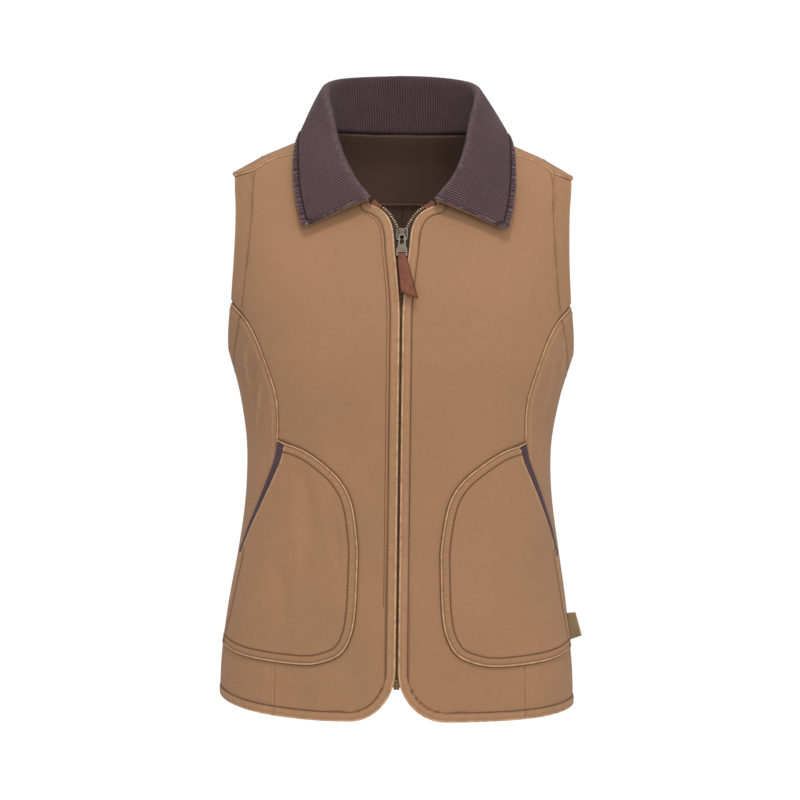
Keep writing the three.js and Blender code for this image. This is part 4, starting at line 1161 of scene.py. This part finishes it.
def pocket(hand, side):
    lines = pocket_lines(side)
    around, mouth = track(lines["sewn"], side), track(lines["mouth"], side)
    creases = creased(side, "pocket")

    def relief(points):
        d, arc = around.near(points)
        m, mouth_arc = mouth.near(points)
        puff = rows_of(POCKET_PUFF * smooth(d, *PUFF_FROM_SEAM) * smooth(m, *PUFF_FROM_MOUTH))
        folds = sum(form(*line.near(points)) for line, form in creases) * smooth(d, *FOLDS_FROM_SEAM)
        return drape(points) + pocket_edge(d, arc) + mouth_edge(m, mouth_arc) + puff + folds

    places = patch(lines["inner"], lines["outer"], lines["bottom"], lines["top"], POCKET_STEP)
    grids = [cloth_grid(flapped(places, lines, side), side)]
    wall, under = (POCKET_LIFT, POCKET_LIFT + POCKET_WALL), [f"front_{hand}_canvas"]
    name = f"pocket_{hand}"
    shell = sheet(f"{name}_canvas", name, "canvas", grids, wall, relief, [CANVAS])
    stitches(f"{name}_thread", shell, [beside(lines["sewn"], side, POCKET_STITCH)], THREAD)


def ribs(across):
    """Height of corduroy ribs from 0 to 1, at distances across them."""
    return 0.5 + 0.5 * np.cos(2 * np.pi * across / WALE_PITCH)


def pocket_trim(hand, side):
    """Corduroy wedge beside the mouth, its ribs across it, its upper end pressed under the pocket's edge."""
    line = pocket_mouth(side, TRIM_ROWS)
    share = np.linspace(0, 1, TRIM_COLUMNS)[None]
    width = np.linspace(TRIM_TOP, TRIM_BOTTOM, len(line))[:, None] * TRIM_SPREAD
    places = np.stack([line[:, :1] - TRIM_UNDER + share * width, line[:, 1:] + share * TRIM_SLANT], -1)
    points, normals, flat = cloth_grid(ahead(places, side)[::-1], side)
    down = lengths(line)[::-1, None] + TRIM_SLANT * share**2
    rib = ribs(down + TRIM_RIB_DRIFT * np.sin(down / TRIM_RIB_DRIFT_LENGTH))
    tuck = TRIM_TUCK * (1 - smooth(down, *TRIM_TUCK_OVER))
    wear_and_highlight = TRIM_WEAR * bell(share, TRIM_WEAR_AT, TRIM_WEAR_WIDTH)
    grids = [(points, normals, flat, rows_of(WALE_DEPTH * rib - TRIM_SINK + tuck, wear_and_highlight, 0.0, rib))]
    wall, under = (TRIM_SEAT, POCKET_LIFT + TRIM_WALL - TRIM_SEAT), [f"front_{hand}_canvas"]
    name = f"pocket_trim_{hand}"
    sheet(f"{name}_corduroy", name, "corduroy", grids, wall, None, [CORDUROY])


# Collar: corduroy over a canvas under-collar, and the facing inside the back neck

def eased(line, reach):
    """A line with its corners rounded over a reach, and its ends kept."""
    walked = lengths(line)
    reach = np.clip(np.minimum(walked, walked[-1] - walked), 0.01, reach)
    weight = np.maximum(1 - np.abs(walked[:, None] - walked[None]) / reach[:, None], 0)
    return weight @ line / weight.sum(1, keepdims=True)


def collar_seam(side):
    """The neck seam from the front end to the centre back, as points and normals."""
    front = ahead(along(FRONT_NECK, 4 * LINE_FACETS), side)
    behind = along([front[-1], *BACK_NECK[::-1], (180, BACK_NECK_Z)], 6 * LINE_FACETS, MM_PER_DEGREE)
    points, normals = on_body(joined(front, behind), side)
    return eased(points, COLLAR_FOOT_EASE), normals


def collar_table(side, share):
    """Foot, roll line and outer edge of half the collar at shares from the front end to the centre back."""
    points, normals = collar_seam(side)
    walked = lengths(points)
    foot = at_lengths(points, share * walked[-1], walked)
    foot = foot - at_lengths(normals, share * walked[-1], walked) * PANEL_WALL / 2
    rows = np.arange(len(COLLAR), dtype=float)
    values = np.stack([cubic(rows, COLLAR[:, k], share * rows[-1]) for k in range(6)], 1)
    roll, edge = values[:, :3].copy(), values[:, 3:].copy()
    for line, shift in ((roll, 0), (edge, COLLAR_EDGE_SHIFT)):
        line[:, 0] = side * line[:, 0] + COLLAR_LEAN * (COLLAR[0, 2] - line[:, 2]) + shift
    return foot, roll, edge


def collar_surface(side, share):
    """Grid over half the collar: from the foot up the stand, round the roll and down the fall."""
    foot, roll, edge = collar_table(side, share)
    corner = np.maximum(COLLAR_CORNER - lengths(edge), 0)
    cut_off = (COLLAR_CORNER - np.sqrt(COLLAR_CORNER**2 - corner**2))[:, None]
    open_fold = COLLAR_TIP_FOLD + (1 - COLLAR_TIP_FOLD) * smooth(share, 0, COLLAR_TIP_SHARE)
    radius = COLLAR_FOLD_RADIUS * open_fold[:, None]
    up = unit(roll - foot)
    fall = edge - roll
    out = unit(fall - (fall * up).sum(1, keepdims=True) * up)
    start, base = foot + up * COLLAR_FOOT_GAP, roll - up * radius
    centre = base + out * radius
    ahead_of, above = (((edge - centre) * axis).sum(1, keepdims=True) for axis in (out, up))
    last_turn = np.full_like(radius, np.pi)
    for _ in range(ROLL_ROUNDS):
        turned = ahead_of + radius * np.cos(last_turn), above - radius * np.sin(last_turn)
        last_turn = np.mod(np.arctan2(*turned), 2 * np.pi)
    start, base, centre, up, out = (v[:, None] for v in (start, base, centre, up, out))
    stand = start + (base - start) * STAND_SHARES[None, :, None]
    turn = (last_turn * ROLL_SHARES[None])[..., None]
    radius = radius[..., None]
    roll_round = centre - out * radius * np.cos(turn) + up * radius * np.sin(turn)
    way = edge - roll_round[:, -1]
    length = np.linalg.norm(way, axis=1, keepdims=True) - cut_off
    way = unit(way)[:, None]
    even = FALL_SHARES[None] * (length - COLLAR_EDGE_ROWS[-1])
    down = np.concatenate([even, length - COLLAR_EDGE_ROWS[None, ::-1]], 1)
    share_down = (down / length)[..., None]
    outward = up * (way * out).sum(-1, keepdims=True) - out * (way * up).sum(-1, keepdims=True)
    belly = outward * COLLAR_BELLY * 4 * share_down * (1 - share_down)
    falling = roll_round[:, -1:] + way * down[..., None] + belly
    return np.concatenate([stand, roll_round, falling], 1)


def collar_grid(step, ends_out=0.0):
    """The whole collar from the left front end round the back to the right, in even steps along the roll."""
    halves = []
    for side in (1, -1):
        dense = np.linspace(0, 1, 10 * CURVE_STEPS)
        walked = lengths(collar_table(side, dense)[1])
        where = np.linspace(0, walked[-1], int(walked[-1] / step) + 1)
        halves.append((collar_surface(side, np.interp(where, walked, dense)), where))
    (left, left_arc), (right, right_arc) = halves
    points = joined(left, right[::-1])
    points[0] += unit(points[0] - points[1]) * ends_out
    points[-1] += unit(points[-1] - points[-2]) * ends_out
    arc = joined(left_arc - left_arc[-1], right_arc[-1] - right_arc[::-1])
    normals = unit(np.cross(tangents(points, 1), tangents(points, 0)))
    down = np.cumsum(np.linalg.norm(np.diff(points, axis=1, prepend=points[:, :1]), axis=2), 1)
    flat = np.stack([np.broadcast_to(arc[:, None], down.shape), down], -1)
    return points, normals, flat


def collar_pieces():
    points, normals, flat = collar_grid(WALE_PITCH / WALE_STEPS)
    round_neck, down = flat[..., 0], flat[..., 1]
    crest = down[:, ROLL_CREST:ROLL_CREST + 1]
    drift = waves(RIB_DRIFT, round_neck, down, RIB_BEND * np.sin(down / RIB_BEND_LENGTH))
    crushed = 0.5 + waves(PILE_CRUSH, round_neck, down, CRUSH_BEND * np.sin(down / CRUSH_BEND_LENGTH))
    ribbed = (ribs(round_neck + drift) - 0.5) * (WALE_LEAST_CRUSHED - crushed)
    # Crushed pile is paler, and the roll crest gets a pale line from wear and painted highlight
    pale_pile_and_highlight = COLLAR_PALER * crushed + COLLAR_ROLL_WEAR_AND_HIGHLIGHT * bell(down, crest, COLLAR_ROLL_WIDTH)
    # The stand gets a painted shade that fades out up to the roll's crest
    stand_shade = STAND_PAINTED_SHADE * (1 - smooth(down, crest - STAND_SHADE_FADES_OVER, crest))
    lift = WALE_DEPTH * ribbed + waves(COLLAR_WAVE, round_neck, down)
    grids = [(points, normals, flat, rows_of(lift, pale_pile_and_highlight, stand_shade, 0.5 + ribbed))]
    edge, ends = Track(points[:, -1]), [Track(points[k, ROLL_CREST:]) for k in (0, -1)]

    def relief(places):
        return collar_border(*edge.near(places)) + sum(collar_end(*end.near(places)) for end in ends)

    wall = (LAYER_GAP / 2, LAYER_GAP / 2 + CORDUROY_WALL)
    under = ["back_canvas", "front_right_canvas", "front_left_canvas"]
    shell = sheet("collar_corduroy", "collar", "corduroy", grids, wall, relief, [CORDUROY])
    groove = -1 - int(np.argmin(abs(COLLAR_EDGE_ROWS - COLLAR_STITCH)))
    run = [rows[COLLAR_STITCH_ENDS:-COLLAR_STITCH_ENDS, groove] for rows in (points, normals)]
    stitches("collar_thread", shell, [run], COLLAR_THREAD)
    grids = [collar_grid(UNDER_COLLAR_STEP, UNDER_COLLAR_SHOWS)]
    wall, under = (-LAYER_GAP / 2 - UNDER_COLLAR_WALL, -LAYER_GAP / 2), ["back_canvas"]
    sheet("under_collar_canvas", "under_collar", "canvas", grids, wall, None, [CANVAS])


def back_facing():
    angle = np.linspace(FACING_EDGE_ANGLE, 360 - FACING_EDGE_ANGLE, FACING_COLUMNS)[None]
    even = np.linspace(0, FACING_DROP - FACING_EDGE_ROWS[0], FACING_EVEN_ROWS)
    above = [-FACING_REACH, -FACING_REACH / 2]
    drop = np.concatenate([above, even, FACING_DROP - FACING_EDGE_ROWS[1:]])[:, None]
    widening = (FACING_TOP_ANGLE - FACING_EDGE_ANGLE) / (FACING_EDGE_ANGLE - 180)
    wide = 180 + (angle - 180) * (1 + widening * (1 - smooth(drop, 0, FACING_DROP)))
    places = np.stack(np.broadcast_arrays(wide, BACK_NECK_Z - FACING_BELOW_NECK - drop), -1)
    points, normals, flat = cloth_grid(places, 1)
    low = PANEL_WALL + FACING_LIFT
    grids, wall, under = [(points, -normals, flat)], (low, low + FACING_WALL), ["back_canvas"]
    relief = summed((Track(points[-1]), facing_edge))
    sheet("back_facing_cloth", "back_facing", "facing", grids, wall, relief, [FACING])


# Zip: woven tapes, metal teeth, and leather ends under the collar corners

ZIP_LINE = joined(along(ZIP_STRAIGHT, 13 * LINE_FACETS), along(ZIP_PARTING, 9 * LINE_FACETS))


def strip(line, side, offsets):
    """Grid of points beside a line on the front, at distances to its outer side."""
    way = unit(np.gradient(line, axis=0))
    outward = np.stack([way[:, 1], -way[:, 0]], 1)
    return cloth_grid(ahead(line[:, None] + outward[:, None] * np.array(offsets)[None, :, None], side), side)


def zip_tape(hand, side):
    grids = [strip(ZIP_LINE, side, np.linspace(TAPE_START, TAPE_END, TAPE_COLUMNS))]
    wall, under = (TAPE_TOP - TAPE_WALL, TAPE_TOP), [f"front_{hand}_canvas"]
    name = f"zip_tape_{hand}"
    sheet(f"{name}_woven", name, "tape", grids, wall, None, [TAPE])


def zip_end(hand, side):
    offsets = np.linspace(ZIP_END_INNER, ZIP_END_OUTER, ZIP_END_COLUMNS)
    points, normals, flat = strip(along(ZIP_END, ZIP_END_ROWS - 1), side, offsets)
    lump = np.sin(np.linspace(0, ZIP_END_TURNS, ZIP_END_ROWS))[:, None]
    lump = ZIP_END_LUMP * lump * np.sin(np.linspace(0, np.pi, ZIP_END_COLUMNS))[None]
    grids = [(points, normals, flat, rows_of(lump))]
    low, high = TAPE_TOP - ZIP_END_BELOW, TAPE_TOP + ZIP_END_ABOVE
    shell = Shell(f"zip_end_{hand}_leather", grids, low, high, None, [LEATHER])
    dress(shell.piece, "vest", "leather", f"zip_end_{hand}")


# One tooth: each ring's distance from the row's centre and size, and the corners of a ring along and out
TOOTH_RINGS = ((-1.9, 0.55), (-1.65, 0.9), (-0.9, 1.0), (0.5, 1.0), (1.0, 0.8), (1.2, 0.5))
TOOTH_CORNERS = ((1, 0.45), (0.6, 1), (-0.6, 1), (-1, 0.45), (-1, -0.45), (-0.6, -1), (0.6, -1), (1, -0.45))
TOOTH_ALONG, TOOTH_PROBE = 0.58, 0.5
TOOTH_FORM = np.array([
    [(reach, a * size * TOOTH_ALONG, h * size * TEETH_DEPTH / 2) for a, h in TOOTH_CORNERS]
    for reach, size in TOOTH_RINGS
])

# First tooth of each row as a share of the pitch, so that the rows mesh, and the bare end above the last one
TOOTH_START, TOOTH_END_GAP = {1: 0.25, -1: 0.75}, 0.6


def zip_teeth(hand, side):
    line, normals, _ = (grid[:, 0] for grid in strip(ZIP_LINE, side, [0]))
    where = np.arange(TOOTH_PITCH * TOOTH_START[side], lengths(line)[-1] - TOOTH_END_GAP, TOOTH_PITCH)
    centre, way, normal = seats(line, normals, where, TOOTH_PROBE)
    outward = unit(np.cross(way, normal)) * side
    centre = centre + normal * (TAPE_TOP - TAPE_WALL / 2)
    points, faces = scattered(TOOTH_FORM, centre, (outward, way, normal), side)
    # Teeth of the closed run take the darker brass, a painted shade for the gap they sit in
    closed = np.repeat(centre[:, 2] < SLIDER_Z, len(faces) // len(where))
    piece = add_mesh(f"zip_teeth_{hand}_metal", points, faces, [BRASS, SHADED_BRASS], closed)
    dress(piece, "vest", "brass", f"zip_teeth_{hand}")


for hand, side in SIDES:
    pocket(hand, side)
    pocket_trim(hand, side)
    zip_tape(hand, side)
    zip_end(hand, side)
    zip_teeth(hand, side)
collar_pieces()
back_facing()


# Leather tab looped round the pull's lower bar, and the blank folded label at the side, behind the pocket

def frame_on(place, lift):
    """Point, and directions across, inwards and up the cloth, at a place on the body."""
    point, normal = on_body(np.array(place, float))
    up = unit(np.array([0, 0, 1.0]) - normal * normal[2])
    return point + normal * lift, np.cross(-normal, up), -normal, up


def strap(name, node, slot, places, frame_at, wall, own, material, body):
    """A folded strap from a grid of places across, inwards and up from a point."""
    origin, across, inward, up = frame_at
    points = origin + places[..., :1] * across + places[..., 1:2] * inward + places[..., 2:] * up
    normals = unit(np.cross(tangents(points, 1), tangents(points, 0)))
    along_strap = np.cumsum(np.linalg.norm(np.diff(points, axis=0, prepend=points[:1]), axis=2), 0)
    grids = [(points, normals, np.stack([places[..., 0], along_strap], -1), own)]
    sheet(name, node, slot, grids, (-wall / 2, wall / 2), None, [material], body)


SLIDER_SEAT, HINGE_OUT, HINGE_DOWN = 0.4, 2.75, 1.3
TEETH_TOP = TAPE_TOP - TAPE_WALL / 2 + TEETH_DEPTH / 2
PULL_LENGTH, PULL_WALL, PULL_BAR = 24.0, 1.5, 1.5

# Leather tab: wall, room round the bar, half the slit between its leaves, and widths at the loop and below it
TAB_WALL, TAB_EYE, TAB_SLIT, TAB_LOOP, TAB_FLARE = 1.3, 0.35, 0.03, 7.4, 9.6

# Its lower corners across and down, and the distances below the bar over which it closes and widens
TAB_LEFT, TAB_LEFT_DOWN, TAB_RIGHT, TAB_RIGHT_DOWN = -0.8, 39.5, 15.8, 47.5
TAB_CLOSES, TAB_WIDENS = (1, 9), (0.4, 5)

# Its curl, the share of it at the left edge, how far the back leaf shows at the right, and grid counts
TAB_CURL, TAB_CURL_LEFT, TAB_BACK_SHOWS = 1.8, 0.25, 1.4
TAB_ROWS, TAB_COLUMNS, LOOP_STEPS = 40, 15, 8


def pull_tab():
    bar_low = PULL_LENGTH - PULL_BAR / 2
    bar_centre, loop_radius = bar_low - PULL_BAR / 2, PULL_WALL / 2 + TAB_EYE + TAB_WALL / 2
    b = np.linspace(0, 1, TAB_COLUMNS)[None]
    hang = 1 - np.linspace(0, 1, TAB_ROWS)[:, None]
    end = TAB_LEFT_DOWN + (TAB_RIGHT_DOWN - TAB_LEFT_DOWN) * b
    down = bar_centre + hang * (end + PULL_BAR / 2)
    below = down - bar_low
    closed = TAB_WALL / 2 + TAB_SLIT
    half = closed + (loop_radius - closed) * (1 - smooth(below, *TAB_CLOSES))
    width = TAB_LOOP + (TAB_FLARE - TAB_LOOP) * smooth(below, *TAB_WIDENS)
    left = -width / 2 + (TAB_LEFT + TAB_FLARE / 2) * hang
    right = width / 2 + (TAB_RIGHT - TAB_FLARE / 2) * hang
    curl = TAB_CURL * hang**2 * (TAB_CURL_LEFT + (1 - TAB_CURL_LEFT) * b)
    front = np.stack([left + (right - left) * b, -half - curl, -down], -1)
    back = np.stack([left + (right + TAB_BACK_SHOWS * hang - left) * b, half - curl, -down], -1)[::-1]
    turn = np.linspace(0, np.pi, LOOP_STEPS + 1)[1:-1, None]
    inward, up = -loop_radius * np.cos(turn), loop_radius * np.sin(turn) - bar_centre
    loop = np.stack(np.broadcast_arrays(TAB_LOOP * (b - 0.5), inward, up), -1)
    places = np.concatenate([front, loop, back])
    inset = np.minimum(b, 1 - b) * TAB_FLARE
    own = np.broadcast_to(tab_border(inset, None), (4, *places.shape[:2]))
    slider, across, inward, up = frame_on((0, SLIDER_Z), TEETH_TOP + SLIDER_SEAT)
    hinge = slider - inward * HINGE_OUT - up * HINGE_DOWN
    frame_at = hinge, across, inward, up
    strap("pull_tab_leather", "pull_tab", "leather", places, frame_at, TAB_WALL, own, LEATHER,
          "pull")


LABEL_PLACE, LABEL_WALL, LABEL_HALF_FOLD, LABEL_SET_BACK = (82.8, -519), 0.6, 0.36, 0.7
LABEL_HEIGHT, LABEL_TOP, LABEL_BOTTOM, LABEL_DROOP = 28.0, 8.5, 12.5, 3.0
LABEL_WAVE, LABEL_WAVE_LENGTH = 0.5, 5.5
LABEL_FOLD_WEAR, LABEL_FOLD_WIDTH = 0.5, 0.9
LABEL_ROWS, LABEL_COLUMNS, LABEL_FOLD_STEPS = 14, 29, 6


def label_tab():
    b = np.linspace(0, 1, LABEL_COLUMNS)[None]
    reach = LABEL_BOTTOM + (LABEL_TOP - LABEL_BOTTOM) * b
    share = np.linspace(0, 1, LABEL_ROWS)[:, None]
    turn = np.linspace(0, np.pi, LABEL_FOLD_STEPS + 1)[1:-1, None]
    out = np.concatenate([share * reach, reach + LABEL_HALF_FOLD * np.sin(turn) + 0 * b, share[::-1] * reach])
    lateral = np.concatenate([0 * share - 1, -np.cos(turn), 0 * share + 1]) * LABEL_HALF_FOLD
    low = -LABEL_HEIGHT / 2 + LABEL_DROOP * np.minimum(out / LABEL_BOTTOM, 1)
    height = low + (LABEL_HEIGHT / 2 - low) * b
    wavy = LABEL_WAVE * np.sin(height / LABEL_WAVE_LENGTH) * (out / LABEL_BOTTOM) ** 2
    places = np.stack([lateral + wavy - LABEL_SET_BACK, -out, height], -1)
    own = rows_of(0 * out, LABEL_FOLD_WEAR * bell(out, reach, LABEL_FOLD_WIDTH))
    frame_at = frame_on(LABEL_PLACE, LAYER_GAP)
    strap("label_tab_woven", "label_tab", "label", places, frame_at, LABEL_WALL, own, LABEL,
          "vest")


pull_tab()
label_tab()


# Metal parts of the zip keep their solids, with softened edges
EDGE_WIDTH, EDGE_STEPS, EDGE_ANGLE = 0.25, 2, 35
for name, look, slot in (
    # The zip box takes the darker brass too, a painted shade
    ("zip_slider", DULL_PEWTER, "pewter"), ("zip_pull", PEWTER, "pewter"), ("zip_box", SHADED_BRASS, "brass"),
):
    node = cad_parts[name]
    node.data.materials.clear()
    node.data.materials.append(look)
    bevel = node.modifiers.new("softened", "BEVEL")
    bevel.width, bevel.segments, bevel.limit_method = EDGE_WIDTH * MM, EDGE_STEPS, "ANGLE"
    bevel.angle_limit = math.radians(EDGE_ANGLE)


# Pale floor and surroundings, soft lights, and the camera at the photograph's angle, in metres
FLOOR_Z, FLOOR_HALF, FLOOR_WHITE, WORLD_STRENGTH = -1.45, 60.0, 0.98, 1.04
AIM = Vector((0, 0, -0.2856))
CAMERA_DISTANCE, CAMERA_RISE, CAMERA_ROLL, FRAME_WIDTH = 2.6, math.radians(2), math.radians(0.7), 0.84

# Soft lights: name, place, width and power in watts
LIGHTS = [
    ("key", (0.6, -2.2, 0.35), 1.2, 22),
    ("top", (0.0, -1.3, 1.7), 0.45, 29),
]

floor_corners = [(x * FLOOR_HALF, y * FLOOR_HALF, FLOOR_Z) for x, y in ((-1, -1), (1, -1), (1, 1), (-1, 1))]
floor_mesh = bpy.data.meshes.new("floor")
floor_mesh.from_pydata(floor_corners, [], [(0, 1, 2, 3)])
floor_look = Look("floor", Roughness=0.9, Base_Color=(FLOOR_WHITE, FLOOR_WHITE, FLOOR_WHITE, 1))
floor_mesh.materials.append(floor_look.material)
floor = bpy.data.objects.new("floor", floor_mesh)
bpy.context.scene.collection.objects.link(floor)

world = bpy.data.worlds.new("studio")
bpy.context.scene.world = world
world.use_nodes = True
world.node_tree.nodes["Background"].inputs["Color"].default_value = (1, 1, 1, 1)
world.node_tree.nodes["Background"].inputs["Strength"].default_value = WORLD_STRENGTH
bpy.context.scene.view_settings.view_transform = "Standard"

for name, place, size, power in LIGHTS:
    data = bpy.data.lights.new(name, "AREA")
    data.size, data.energy = size, power
    light = bpy.data.objects.new(name, data)
    light.location = place
    light.rotation_euler = (AIM - Vector(place)).to_track_quat("-Z", "Y").to_euler()
    bpy.context.scene.collection.objects.link(light)

camera = bpy.data.objects.new("camera", bpy.data.cameras.new("camera"))
bpy.context.scene.collection.objects.link(camera)
back = Vector((0, -math.cos(CAMERA_RISE), math.sin(CAMERA_RISE)))
camera.location = AIM + back * CAMERA_DISTANCE
camera.rotation_mode = "QUATERNION"
rolled = Matrix.Rotation(CAMERA_ROLL, 4, "Z").to_quaternion()
camera.rotation_quaternion = (-back).to_track_quat("-Z", "Y") @ rolled
camera.data.angle = 2 * math.atan(FRAME_WIDTH / 2 / CAMERA_DISTANCE)
bpy.context.scene.camera = camera
